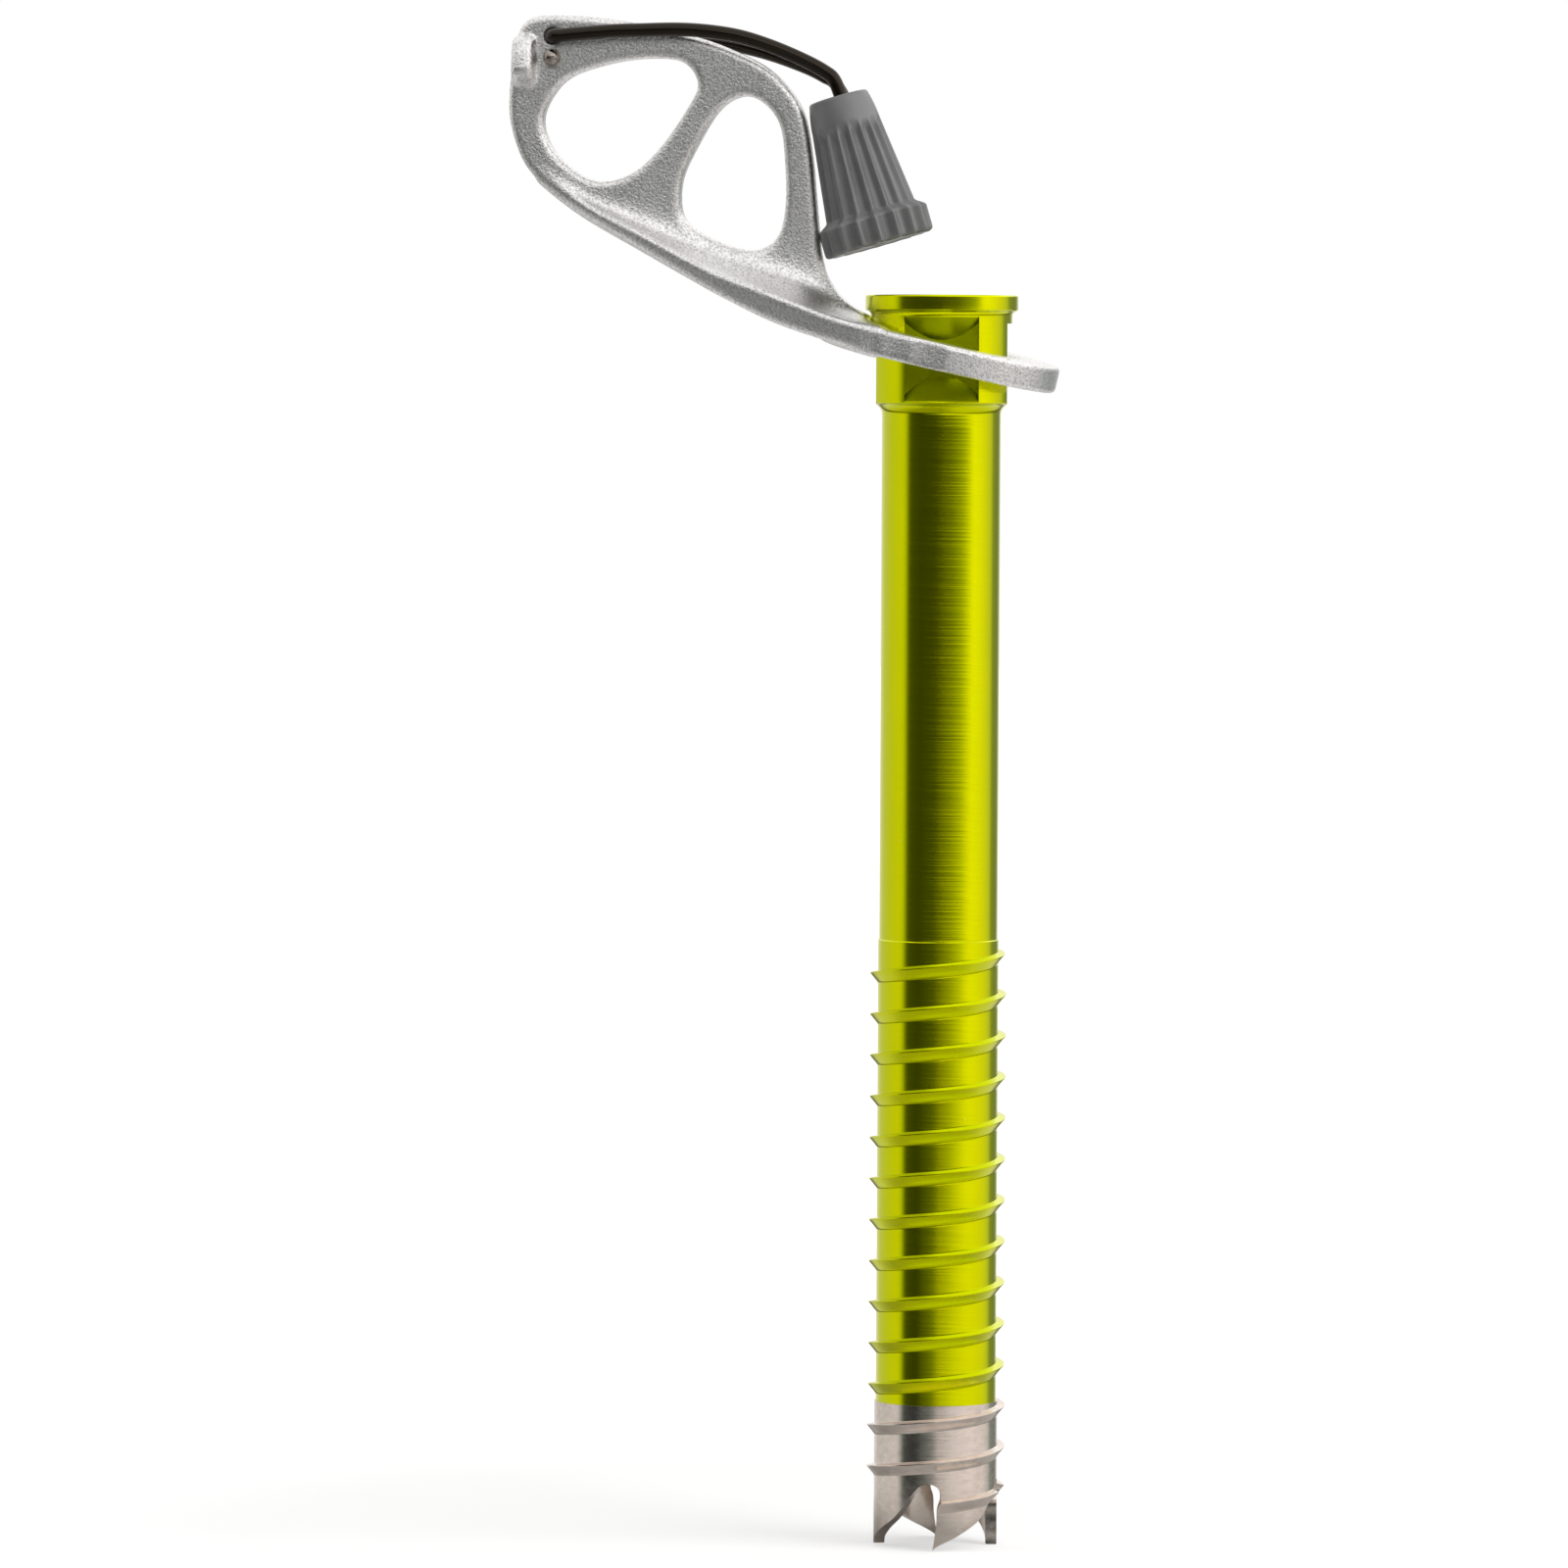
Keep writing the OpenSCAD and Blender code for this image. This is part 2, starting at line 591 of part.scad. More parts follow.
module knob() {
    top_r = knob_top_d / 2;
    low_r = knob_low_d / 2;
    slope = atan2(low_r - top_r, knob_len - knob_rim_h);
    collar_r = top_r + (low_r - top_r) * collar_h / (knob_len - knob_rim_h);
    color("gray") at_knob() difference() {
        rotate_extrude() knob_section();
        translate([0, 0, -spindle_top - past]) cylinder(h = spindle_top + 2 * past, r = knob_opening_r);
        translate([0, 0, -knob_len - past])
            cylinder(h = knob_len + past - spindle_top + running_gap, r = spindle_r + running_gap);
        translate([0, 0, -knob_len - past])
            cylinder(h = knob_len + past - spindle_floor + running_gap, r = chamber_r);
        translate([0, 0, -knob_len - past]) cylinder(h = plug_t + past, r = plug_r);
        for (k = [0 : flutes - 1]) rotate([0, 0, 360 * (k + 0.5) / flutes]) {
            translate([collar_r + flute_r - flute_sink, 0, -collar_h]) rotate([0, -slope, 0])
                rotate([180, 0, 0]) cylinder(h = knob_len, r = flute_r, $fn = 24);
            translate([knob_rim_d / 2 + flute_r / 3, 0, -knob_len - past])
                cylinder(h = knob_rim_h + past, r = flute_r, $fn = 24);
        }
    }
}

module knob_plug() {
    color("gray") at_knob() translate([0, 0, -knob_len])
        cylinder(h = plug_t, r = plug_r);
}

tube_body();
cutting_tip();
hanger();
stop_rivet();
handle_wire();
knob_spindle();
spindle_washer();
knob();
knob_plug();
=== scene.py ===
import math

import bmesh
import bpy
import numpy as np
from mathutils import Matrix, Vector


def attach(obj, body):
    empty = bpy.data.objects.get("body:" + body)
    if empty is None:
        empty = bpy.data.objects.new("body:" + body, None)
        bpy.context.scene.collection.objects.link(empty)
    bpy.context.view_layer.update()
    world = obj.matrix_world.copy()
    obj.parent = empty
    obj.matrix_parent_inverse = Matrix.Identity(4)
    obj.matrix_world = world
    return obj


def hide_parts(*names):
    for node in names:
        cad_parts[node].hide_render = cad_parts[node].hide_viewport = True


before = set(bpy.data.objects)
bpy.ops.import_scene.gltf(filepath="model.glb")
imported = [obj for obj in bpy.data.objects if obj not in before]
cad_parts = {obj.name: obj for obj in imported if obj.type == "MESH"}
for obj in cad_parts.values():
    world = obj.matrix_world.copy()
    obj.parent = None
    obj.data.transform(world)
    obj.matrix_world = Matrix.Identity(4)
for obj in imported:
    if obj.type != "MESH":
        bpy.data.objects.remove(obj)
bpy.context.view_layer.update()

# All shapes below are worked out in millimetres, in the CAD model's frame.
MM = 0.001

# Sizes of the CAD model that the detailed pieces repeat. Radii end in _R, thicknesses in _T.
REACH = 164.0
HEAD_TOP = 15.5
BORE_R = 7.25
TUBE_R = 8.5
ROOT_R = 8.65
TIP_R = 8.85
CREST_R = 9.8
TIP_CREST_R = 9.9
HEAD_R = 10.1
FLANGE_R = 10.95
FLANGE_LOW = 13.3
SHOULDER_FILLET = 1.6
PITCH = 5.92
THREAD_START = 77.2
SEAM_Z = -143.2
SPIGOT_R = 7.85
SPIGOT_LEN = 8.0
BOND = 0.04
HEAD_FLAT = 9.35
POCKET_Y = 7.9
RING_H = 7.15
PLATE_T = 4.0
WIRE_R = 1.0
PIVOT = np.array([-65.0, 31.5])
KNOB_TOP = np.array([-23.0, 32.3])
KNOB_AIM = np.array([-12.3, 13.2])
KNOB_LEN = 22.0
RIVET_AT = (-64.3, 28.5)

# Columns round the turned pieces, and a radius outside them all.
COLUMNS = 240
OUTSIDE = 13.0

# Faces that meet at more degrees than this are shaded with an edge between them.
SHARP = 32

# Points in the same cell count as one, with so many cells to the millimetre.
WELD_CELLS = 20000


def turn_x(deg):
    return np.array(Matrix.Rotation(math.radians(deg), 3, "X"))


def turn_y(deg):
    return np.array(Matrix.Rotation(math.radians(deg), 3, "Y"))


def turn_z(deg):
    return np.array(Matrix.Rotation(math.radians(deg), 3, "Z"))


HANGER_TURN = turn_z(-6.5) @ turn_y(13) @ turn_x(0.8)
KNOB_ANGLE = math.degrees(math.atan2(KNOB_AIM[1] - KNOB_TOP[1], KNOB_AIM[0] - KNOB_TOP[0]))
KNOB_TURN = HANGER_TURN @ turn_y(-KNOB_ANGLE - 90)


def on_head(points):
    return np.asarray(points, float) @ HANGER_TURN.T + [0, 0, RING_H]


def at_knob(points):
    return np.asarray(points, float) @ KNOB_TURN.T + on_head([KNOB_TOP[0], 0, KNOB_TOP[1]])


# ---------------------------------------------------------------- meshes

def weld(points, quads):
    """Joins points that coincide and drops or shortens the faces that collapse."""
    keys = np.round(points * WELD_CELLS).astype(np.int64)
    _, first, inverse = np.unique(keys, axis=0, return_index=True, return_inverse=True)
    inverse = inverse.reshape(-1)
    faces = []
    for quad in inverse[quads].tolist():
        face = [v for n, v in enumerate(quad) if v != quad[n - 1]]
        if len(face) > 2 and len(set(face)) == len(face):
            faces.append(face)
    return points[first], faces


def grid(rows, columns, wrap=True):
    i = np.arange(rows - 1)[:, None]
    j = np.arange(columns if wrap else columns - 1)[None, :]
    a = i * columns + j
    b = i * columns + (j + 1) % columns
    return np.stack([a, b, b + columns, a + columns], -1).reshape(-1, 4)


def add_piece(name, points, faces, material, sharp=SHARP):
    mesh = bpy.data.meshes.new(name)
    mesh.from_pydata((np.asarray(points) * MM).tolist(), [], faces)
    tidy = bmesh.new()
    tidy.from_mesh(mesh)
    bmesh.ops.recalc_face_normals(tidy, faces=tidy.faces)
    tidy.to_mesh(mesh)
    tidy.free()
    finish_mesh(mesh, material, sharp)
    piece = bpy.data.objects.new(name, mesh)
    bpy.context.collection.objects.link(piece)
    return piece


def finish_mesh(mesh, material, sharp):
    mesh.polygons.foreach_set("use_smooth", [True] * len(mesh.polygons))
    mesh.set_sharp_from_angle(angle=math.radians(sharp))
    mesh.materials.clear()
    mesh.materials.append(material)


def cut(piece, cutters, material):
    """Takes closed cutters out of a closed piece and deletes the cutters."""
    for cutter in cutters:
        step = piece.modifiers.new("cut", "BOOLEAN")
        step.operation = "DIFFERENCE"
        step.solver = "MANIFOLD"
        step.object = cutter
    bpy.context.view_layer.update()
    shaped = piece.evaluated_get(bpy.context.evaluated_depsgraph_get())
    mesh = bpy.data.meshes.new_from_object(shaped)
    old = piece.data
    piece.modifiers.clear()
    piece.data = mesh
    bpy.data.meshes.remove(old)
    for cutter in cutters:
        bpy.data.objects.remove(cutter)
    finish_mesh(mesh, material, SHARP)


def curve(points, steps, closed=False):
    """Catmull-Rom curve through points, the same as the CAD source draws."""
    p = np.asarray(points, float)
    n = len(p)
    out = []
    for i in range(n if closed else n - 1):
        if closed:
            a, b, c, d = p[i - 1], p[i], p[(i + 1) % n], p[(i + 2) % n]
        else:
            a, b, c, d = p[max(i - 1, 0)], p[i], p[i + 1], p[min(i + 2, n - 1)]
        for t in np.arange(steps) / steps:
            out.append(0.5 * (2 * b + (c - a) * t + (2 * a - 5 * b + 4 * c - d) * t * t
                              + (3 * b - a - 3 * c + d) * t ** 3))
    if not closed:
        out.append(p[-1])
    return np.array(out)


def arc(cx, cz, r, start, end, steps):
    turn = np.radians(np.linspace(start, end, steps + 1))
    return [(cx + r * math.cos(t), cz + r * math.sin(t)) for t in turn]


def lathe(profile, columns=COLUMNS):
    """Rings for a profile of (radius, height) points round the Z axis."""
    turn = np.radians(90 - 360 * np.arange(columns) / columns)
    r, z = np.array(profile, float).T
    rings = np.stack([r[:, None] * np.cos(turn), r[:, None] * np.sin(turn),
                      np.repeat(z[:, None], columns, 1)], -1)
    return rings.reshape(-1, 3)


def soft_max(a, b, k):
    h = np.clip(0.5 + 0.5 * (a - b) / k, 0, 1)
    return b + (a - b) * h + k * h * (1 - h)


# ---------------------------------------------------------------- materials

class Tree:
    """Adds nodes to a material or world: an input is a value or another node's output."""

    def __init__(self, owner):
        owner.use_nodes = True
        self.owner = owner
        self.nodes = owner.node_tree.nodes
        self.links = owner.node_tree.links

    def add(self, kind, inputs=None, **settings):
        node = self.nodes.new(kind)
        for key, value in settings.items():
            setattr(node, key, value)
        self.feed(node, inputs or {})
        return node

    def feed(self, node, inputs):
        for key, value in inputs.items():
            if isinstance(value, bpy.types.NodeSocket):
                self.links.new(value, node.inputs[key])
            else:
                node.inputs[key].default_value = value

    def place(self, scale):
        """Object coordinates, in millimetres times scale along each axis."""
        where = self.coordinates("Object")
        size = [share / MM for share in scale]
        return self.add("ShaderNodeMapping", {"Vector": where, "Scale": size}).outputs[0]

    def noise(self, scale, detail=2.0, rough=0.5):
        return self.add("ShaderNodeTexNoise", {
            "Vector": self.place(scale), "Scale": 1.0, "Detail": detail,
            "Roughness": rough}).outputs["Fac"]

    def range(self, value, low, high, to_low, to_high):
        return self.add("ShaderNodeMapRange", {
            "Value": value, "From Min": low, "From Max": high,
            "To Min": to_low, "To Max": to_high}).outputs[0]

    def math(self, operation, a, b=0.0, clamp=False):
        return self.add("ShaderNodeMath", {0: a, 1: b}, operation=operation,
                        use_clamp=clamp).outputs[0]

    def axes(self, where):
        return self.add("ShaderNodeSeparateXYZ", {0: where}).outputs

    def coordinates(self, kind):
        return self.add("ShaderNodeTexCoord").outputs[kind]

    def off_axis(self, axes):
        """Distance from the Z axis."""
        flat = self.add("ShaderNodeCombineXYZ", {0: axes[0], 1: axes[1]}).outputs[0]
        return self.add("ShaderNodeVectorMath", {0: flat}, operation="LENGTH").outputs["Value"]

    def ramp(self, share, stops, first, last, base, scale):
        """Curve through (place, level) stops, as a grey ramp of (level + base) / scale."""
        node = self.add("ShaderNodeValToRGB", {0: share})
        band = node.color_ramp
        marks = [(max(0.0, min(1.0, (x - first) / (last - first))), (y + base) / scale)
                 for x, y in stops]
        for mark, level in marks[1:-1]:
            band.elements.new(mark).color = (level, level, level, 1)
        for end, (_, level) in ((0, marks[0]), (len(marks) - 1, marks[-1])):
            band.elements[end].color = (level, level, level, 1)
        return node.outputs[0]

    def mix(self, factor, a, b, blend="MIX"):
        node = self.add("ShaderNodeMix", data_type="RGBA", blend_type=blend)
        self.feed(node, {0: factor, 6: a, 7: b})
        return node.outputs[2]

    def bump(self, height, strength, distance, below=None):
        """Bump of a depth in millimetres, over another one if below is given."""
        inputs = {"Height": height, "Strength": strength, "Distance": distance * MM}
        if below is not None:
            inputs["Normal"] = below
        return self.add("ShaderNodeBump", inputs).outputs[0]

    def finish(self, **inputs):
        """The finished material, with these inputs of its shader."""
        shader = self.nodes["Principled BSDF"]
        self.feed(shader, {key.replace("_", " "): value for key, value in inputs.items()})
        return self.owner


def new_material(name):
    return Tree(bpy.data.materials.new(name))


def anodised_tube():
    """Turned and dyed metal, rougher where the mill cut the pockets and flats, and painted darker
    there as painted shade.
    """
    t = new_material("anodised_tube")
    axes = t.axes(t.coordinates("Object"))
    inside = t.range(t.off_axis(axes), (HEAD_R - 0.12) * MM, (HEAD_R - 0.04) * MM, 1, 0)
    milled_and_shaded = t.math("MULTIPLY", inside, t.range(axes[2], 0.02 * MM, 0.1 * MM, 0, 1))
    turning = t.noise((0.03, 0.03, 2.9), 3)
    brushed = t.noise((7.0, 1.5, 0.25), 2)
    patch = t.noise((0.25, 0.25, 0.12), 3)
    speck = t.noise((1.9, 1.9, 1.9), 1)
    colour = t.mix(t.range(patch, 0.3, 0.7, 0, 1), (0.66, 0.715, 0.0, 1), (0.695, 0.735, 0.0, 1))
    colour = t.mix(t.range(speck, 0.79, 0.83, 0, 0.5), colour, (0.80, 0.84, 0.25, 1))
    rough = t.math("ADD", t.range(turning, 0.3, 0.7, 0.14, 0.19), t.math("MULTIPLY", milled_and_shaded, 0.24))
    # Painted shade: the colour is darkened in the milled pockets and flats.
    colour = t.mix(milled_and_shaded, colour, (0.36, 0.42, 0.0, 1))
    above_thread = t.range(axes[2], -76.9 * MM, -76.7 * MM, 0.25, 0.8)
    grooves = t.bump(turning, above_thread, 0.016)
    marks = t.bump(brushed, t.math("MULTIPLY", milled_and_shaded, 0.3), 0.02, grooves)
    return t.finish(Base_Color=colour, Metallic=1.0, Roughness=rough, Normal=marks)


def tip_steel():
    """Turned steel with grime and small pits."""
    t = new_material("tip_steel")
    turning = t.noise((0.06, 0.06, 3.4), 3)
    grime = t.noise((0.7, 0.7, 1.2), 4, 0.6)
    pit = t.noise((2.2, 2.2, 2.8), 2)
    colour = t.mix(t.range(grime, 0.35, 0.65, 0, 1), (0.66, 0.575, 0.51, 1), (0.78, 0.69, 0.62, 1))
    colour = t.mix(t.range(pit, 0.72, 0.78, 0, 0.6), colour, (0.25, 0.21, 0.18, 1))
    rough = t.range(grime, 0.3, 0.7, 0.14, 0.20)
    first = t.bump(turning, 0.3, 0.010)
    normal = t.bump(grime, 0.3, 0.014, first)
    return t.finish(Base_Color=colour, Metallic=1.0, Roughness=rough, Normal=normal)


def hanger_alloy():
    """Bare peened metal, whose colour is painted darker in the grain's dents as painted shade and
    lighter on its tops as painted highlight.
    """
    t = new_material("hanger_alloy")
    grain = t.noise((2.9, 2.9, 2.9), 2, 0.6)
    broad = t.noise((0.15, 0.15, 0.15), 2)
    colour = t.mix(t.range(broad, 0.35, 0.65, 0, 1), (0.90, 0.885, 0.875, 1),
                   (0.97, 0.955, 0.945, 1))
    # Painted shade: the colour darkens where the grain's bump is low, in its dents.
    colour = t.mix(t.range(grain, 0.37, 0.52, 0.55, 0), colour, (0.36, 0.35, 0.345, 1))
    # Painted highlight: the colour lightens where the grain's bump is high, on its tops.
    colour = t.mix(t.range(grain, 0.54, 0.64, 0, 0.8), colour, (1.0, 0.985, 0.97, 1))
    rough = t.range(grain, 0.3, 0.7, 0.42, 0.30)
    return t.finish(Base_Color=colour, Metallic=1.0, Roughness=rough,
                    Normal=t.bump(grain, 1.0, 0.10))


def rivet_steel():
    t = new_material("rivet_steel")
    tone = t.noise((1.5, 1.5, 1.5), 2)
    colour = t.mix(tone, (0.28, 0.245, 0.21, 1), (0.42, 0.375, 0.33, 1))
    return t.finish(Base_Color=colour, Metallic=1.0, Roughness=0.13,
                    Normal=t.bump(tone, 0.2, 0.03))


def wire_coating():
    t = new_material("wire_coating")
    tone = t.noise((1.2, 1.2, 1.2), 3)
    colour = t.mix(tone, (0.004, 0.0035, 0.003, 1), (0.010, 0.007, 0.005, 1))
    rough = t.range(tone, 0.3, 0.7, 0.13, 0.20)
    return t.finish(Base_Color=colour, Metallic=0.0, Roughness=rough, IOR=1.42,
                    Specular_Tint=(1.0, 0.84, 0.66, 1),
                    Normal=t.bump(tone, 0.15, 0.03))


def plain_steel(name, light):
    """Turned steel of a given lightness, for the pieces inside the knob."""
    t = new_material(name)
    turning = t.noise((1.0, 1.0, 6.0), 2)
    colour = t.mix(turning, (light * 0.85,) * 3 + (1,), (light, light * 0.98, light * 0.96, 1))
    return t.finish(Base_Color=colour, Metallic=1.0, Roughness=0.3,
                    Normal=t.bump(turning, 0.3, 0.02))


def knob_plastic():
    t = new_material("knob_plastic")
    grain = t.noise((5.0, 5.0, 5.0), 2)
    patch = t.noise((0.3, 0.3, 0.3), 2)
    colour = t.mix(t.range(patch, 0.3, 0.7, 0, 1), (0.20, 0.20, 0.202, 1), (0.24, 0.24, 0.24, 1))
    rough = t.range(grain, 0.3, 0.7, 0.30, 0.42)
    return t.finish(Base_Color=colour, Roughness=rough, Specular_IOR_Level=0.75,
                    Normal=t.bump(grain, 0.35, 0.03))


ALLOY = hanger_alloy()
TUBE = anodised_tube()
STEEL = tip_steel()
RIVET = rivet_steel()
BLACK = wire_coating()
SPINDLE = plain_steel("spindle_steel", 0.55)
WASHER = plain_steel("washer_steel", 0.65)
PLASTIC = knob_plastic()


# ---------------------------------------------------------------- threaded tube and tip

# The thread turns RUN_IN of a turn before it is full. Its radius falls by FLANK_TOP and FLANK_LOW
# for each millimetre above and below the crest, and it starts ROOT_SINK under the core. It ends
# LAST_TURN turns after its start, on the tip.
RUN_IN = 110 / 360
FLANK_TOP = 4.3
FLANK_LOW = 0.82
CREST_FLAT = 0.12
ROOT_SINK = 0.175
ROOT_FILLET = 0.16
LAST_TURN = 13.51
NO_END = 99

# Places along one pitch, below the crest's upper edge, at which the surface has points.
STRIP_LEAD = 1.20
STRIP = [-STRIP_LEAD, -0.80, -0.55, -0.42, -0.34, -0.29, -0.24, -0.18, -0.12, -0.07, -0.03, 0.0,
         0.03, 0.06, 0.09, 0.12, 0.16, 0.24, 0.40, 0.62, 0.86, 1.10, 1.28, 1.40, 1.50, 1.60,
         1.72, 1.88, 2.15, 2.7, 3.5, PITCH - STRIP_LEAD]


def thread_radius(turned, z, core, crest, last):
    """Radius of the threaded surface, turned being the turns wound down to this azimuth."""
    below = -THREAD_START - PITCH * turned - z
    wound = np.floor((below + STRIP_LEAD) / PITCH)
    below = below - wound * PITCH
    turned = turned + wound
    grown = np.clip(turned / RUN_IN, 0, 1)
    top = core - ROOT_SINK + (crest - core + ROOT_SINK) * grown
    ridge = top - FLANK_TOP * np.maximum(0, -below) - FLANK_LOW * np.maximum(0, below - CREST_FLAT)
    ridge = np.where((turned < 0) | (turned > last), core - 1, ridge)
    return soft_max(ridge, core, ROOT_FILLET)


def threaded(core, crest, z_top, z_low, last):
    """Points and quads of the threaded surface between two levels."""
    first = math.floor((-THREAD_START - z_top) / PITCH) - 1
    turns = math.ceil((z_top - z_low) / PITCH) + 3
    count = turns * COLUMNS + 1
    turned = first + np.arange(count) / COLUMNS
    rows = np.array(STRIP)[:, None]
    z = np.clip(-THREAD_START - PITCH * turned - rows, z_low, z_top)
    r = thread_radius(turned + 0 * rows, z, core, crest, last)
    column = np.arange(count) % COLUMNS
    azimuth = np.radians(90 - 360 * column / COLUMNS)
    points = np.stack([r * np.cos(azimuth), r * np.sin(azimuth), z], -1).reshape(-1, 3)
    return points, grid(len(STRIP), count, wrap=False)


def assemble(parts):
    """One point list and one quad list from several."""
    points, quads, base = [], [], 0
    for p, q in parts:
        points.append(p)
        quads.append(q + base)
        base += len(p)
    return weld(np.concatenate(points), np.concatenate(quads))


def revolved(profile):
    return lathe(profile), grid(len(profile), COLUMNS)


def edge_ring(z, core, crest, last):
    """One ring round the threaded surface at a level."""
    turned = np.arange(COLUMNS) / COLUMNS
    r = thread_radius(turned + math.floor((-THREAD_START - z) / PITCH) - 1, z + 0 * turned, core,
                      crest, last)
    azimuth = np.radians(90 - 360 * turned)
    return np.stack([r * np.cos(azimuth), r * np.sin(azimuth), z + 0 * r], -1)


def seam_face(ring, profile):
    """Joins a ring that follows the thread to a revolved profile."""
    points = np.concatenate([ring, lathe(profile)])
    return points, grid(len(profile) + 1, COLUMNS)


def box_piece(name, low, high):
    x0, y0, z0 = low
    x1, y1, z1 = high
    points = [(x, y, z) for z in (z0, z1) for y in (y0, y1) for x in (x0, x1)]
    faces = [(0, 2, 3, 1), (4, 5, 7, 6), (0, 1, 5, 4), (2, 6, 7, 3), (0, 4, 6, 2), (1, 3, 7, 5)]
    return add_piece(name, points, faces, TUBE)


def pocket_cutter(name, side):
    """What the mill took out: a flat floor between two cone-shaped ramps."""
    low, flat_low, flat_top, top = 0.2, 4.05, 9.05, 12.45
    half = 5.3
    x = np.linspace(-half, half, 49)

    def meet(r):
        return (r - POCKET_Y) / (HEAD_R - POCKET_Y)

    edge_r = np.sqrt(POCKET_Y ** 2 + x ** 2)
    arc_low = flat_low - (flat_low - low) * meet(edge_r)
    arc_top = flat_top + (top - flat_top) * meet(edge_r)
    rows = []
    for t in np.linspace(0, 1, 9):
        rows.append(low + (arc_low - low) * t)
    for t in np.linspace(0, 1, 5)[1:]:
        rows.append(arc_low + (arc_top - arc_low) * t)
    for t in np.linspace(0, 1, 9)[1:]:
        rows.append(arc_top + (top - arc_top) * t)
    z = np.array(rows)
    ramp_low = POCKET_Y + (HEAD_R - POCKET_Y) * (flat_low - z) / (flat_low - low)
    ramp_top = POCKET_Y + (HEAD_R - POCKET_Y) * (z - flat_top) / (top - flat_top)
    cone = np.where(z < flat_low, ramp_low, np.where(z > flat_top, ramp_top, POCKET_Y))
    y_in = -np.sqrt(np.maximum(cone ** 2 - x ** 2, POCKET_Y ** 2))
    inner = np.stack([x + 0 * z, y_in, z], -1)
    outer = np.stack([x + 0 * z, np.full_like(z, -OUTSIDE), z], -1)
    n_rows, n_cols = z.shape
    both = np.concatenate([inner.reshape(-1, 3), outer.reshape(-1, 3)])
    both[:, :2] *= side
    half_count = n_rows * n_cols
    sheet = grid(n_rows, n_cols, wrap=False)
    quads = [sheet, sheet + half_count]
    for i in (0, n_rows - 1):
        j = np.arange(n_cols - 1)
        a = i * n_cols + j
        quads.append(np.stack([a, a + 1, a + 1 + half_count, a + half_count], -1))
    for j in (0, n_cols - 1):
        i = np.arange(n_rows - 1)
        a = i * n_cols + j
        quads.append(np.stack([a, a + n_cols, a + n_cols + half_count, a + half_count], -1))
    points, faces = weld(both, np.concatenate(quads))
    return add_piece(name, points, faces, TUBE)


def make_tube():
    plain_low = -75.5
    ledge_top, ledge_low = -76.75, -76.9
    flat_low, flat_top = -4, 11.5
    profile = [(BORE_R, HEAD_TOP - 0.35), (BORE_R + 0.35, HEAD_TOP)]
    profile += [(FLANGE_R - 0.3 + 0.3 * math.cos(a), HEAD_TOP - 0.3 + 0.3 * math.sin(a))
                for a in np.radians([90, 70, 50, 30, 10, 0])]
    profile += [(FLANGE_R, FLANGE_LOW + 0.12), (FLANGE_R - 0.12, FLANGE_LOW)]
    neck = FLANGE_R - HEAD_R
    profile += arc(FLANGE_R, FLANGE_LOW - neck, neck, 98, 180, 12)
    profile += [(HEAD_R, 9), (HEAD_R, 4), (HEAD_R, 0.15), (HEAD_R - 0.15, 0)]
    profile += arc(TUBE_R + SHOULDER_FILLET, -SHOULDER_FILLET, SHOULDER_FILLET, 95, 180, 14)
    profile += [(TUBE_R, z) for z in (-4, -20, -40, -60, -72, plain_low)]
    upper = revolved(profile)
    thread = threaded(TUBE_R, CREST_R, plain_low, ledge_top, NO_END)
    step = threaded(ROOT_R, CREST_R, ledge_low, SEAM_Z, NO_END)
    ledge_rings = [edge_ring(ledge_top, TUBE_R, CREST_R, NO_END),
                   edge_ring(ledge_low, ROOT_R, CREST_R, NO_END)]
    ledge = np.concatenate(ledge_rings), grid(2, COLUMNS)
    socket_r, socket_z = SPIGOT_R + BOND, SEAM_Z + SPIGOT_LEN + BOND
    seam = seam_face(edge_ring(SEAM_Z, ROOT_R, CREST_R, NO_END),
                     [(socket_r, SEAM_Z), (socket_r, socket_z), (BORE_R, socket_z)]
                     + [(BORE_R, z) for z in (-120, -90, -60, -30, 0, HEAD_TOP - 0.35)])
    points, faces = assemble([upper, thread, ledge, step, seam])
    piece = add_piece("threaded_tube", points, faces, TUBE)
    cutters = [pocket_cutter("pocket_front", 1), pocket_cutter("pocket_back", -1)]
    for side in (-1, 1):
        low, high = sorted((side * HEAD_FLAT, side * OUTSIDE))
        cutters.append(box_piece("flat", (low, -OUTSIDE, flat_low), (high, OUTSIDE, flat_top)))
    cut(piece, cutters, TUBE)
    return piece


# The gap between two teeth: its two sides in degrees of azimuth, by share of its height.
GAP_HEIGHT = 9.6
GAP_AZIMUTH = -92.3
TEETH = 4
GAP_BACK = [(-0.15, -91.5), (0, -90), (0.22, -66), (0.44, -42), (0.58, -32.5), (0.70, -26.0),
            (0.82, -20.5), (0.90, -16.3), (0.95, -13.0), (0.98, -9.8), (0.995, -6.5), (1, -4)]
GAP_FACE = [(-0.15, -0.6), (0, 0), (0.22, 2.2), (0.44, 3.9), (0.58, 4.1), (0.66, 5.0), (0.74, 7.1),
            (0.81, 7.9), (0.87, 7.2), (0.92, 5.6), (0.96, 3.2), (0.985, 0.3), (1, -4)]


def smooth_table(table, x):
    """Slope-limited cubic through a table, so it never runs past its points."""
    px, py = np.array(table, float).T
    step = np.diff(px)
    slope = np.diff(py) / step
    inner = np.where(slope[1:] * slope[:-1] > 0,
                     2 * slope[1:] * slope[:-1] / (slope[1:] + slope[:-1] + 1e-12), 0)
    m = np.concatenate([[slope[0]], inner, [slope[-1]]])
    i = np.clip(np.searchsorted(px, x) - 1, 0, len(px) - 2)
    t = (x - px[i]) / step[i]
    return (py[i] * (2 * t ** 3 - 3 * t ** 2 + 1) + m[i] * step[i] * (t ** 3 - 2 * t ** 2 + t)
            + py[i + 1] * (3 * t ** 2 - 2 * t ** 3) + m[i + 1] * step[i] * (t ** 3 - t ** 2))


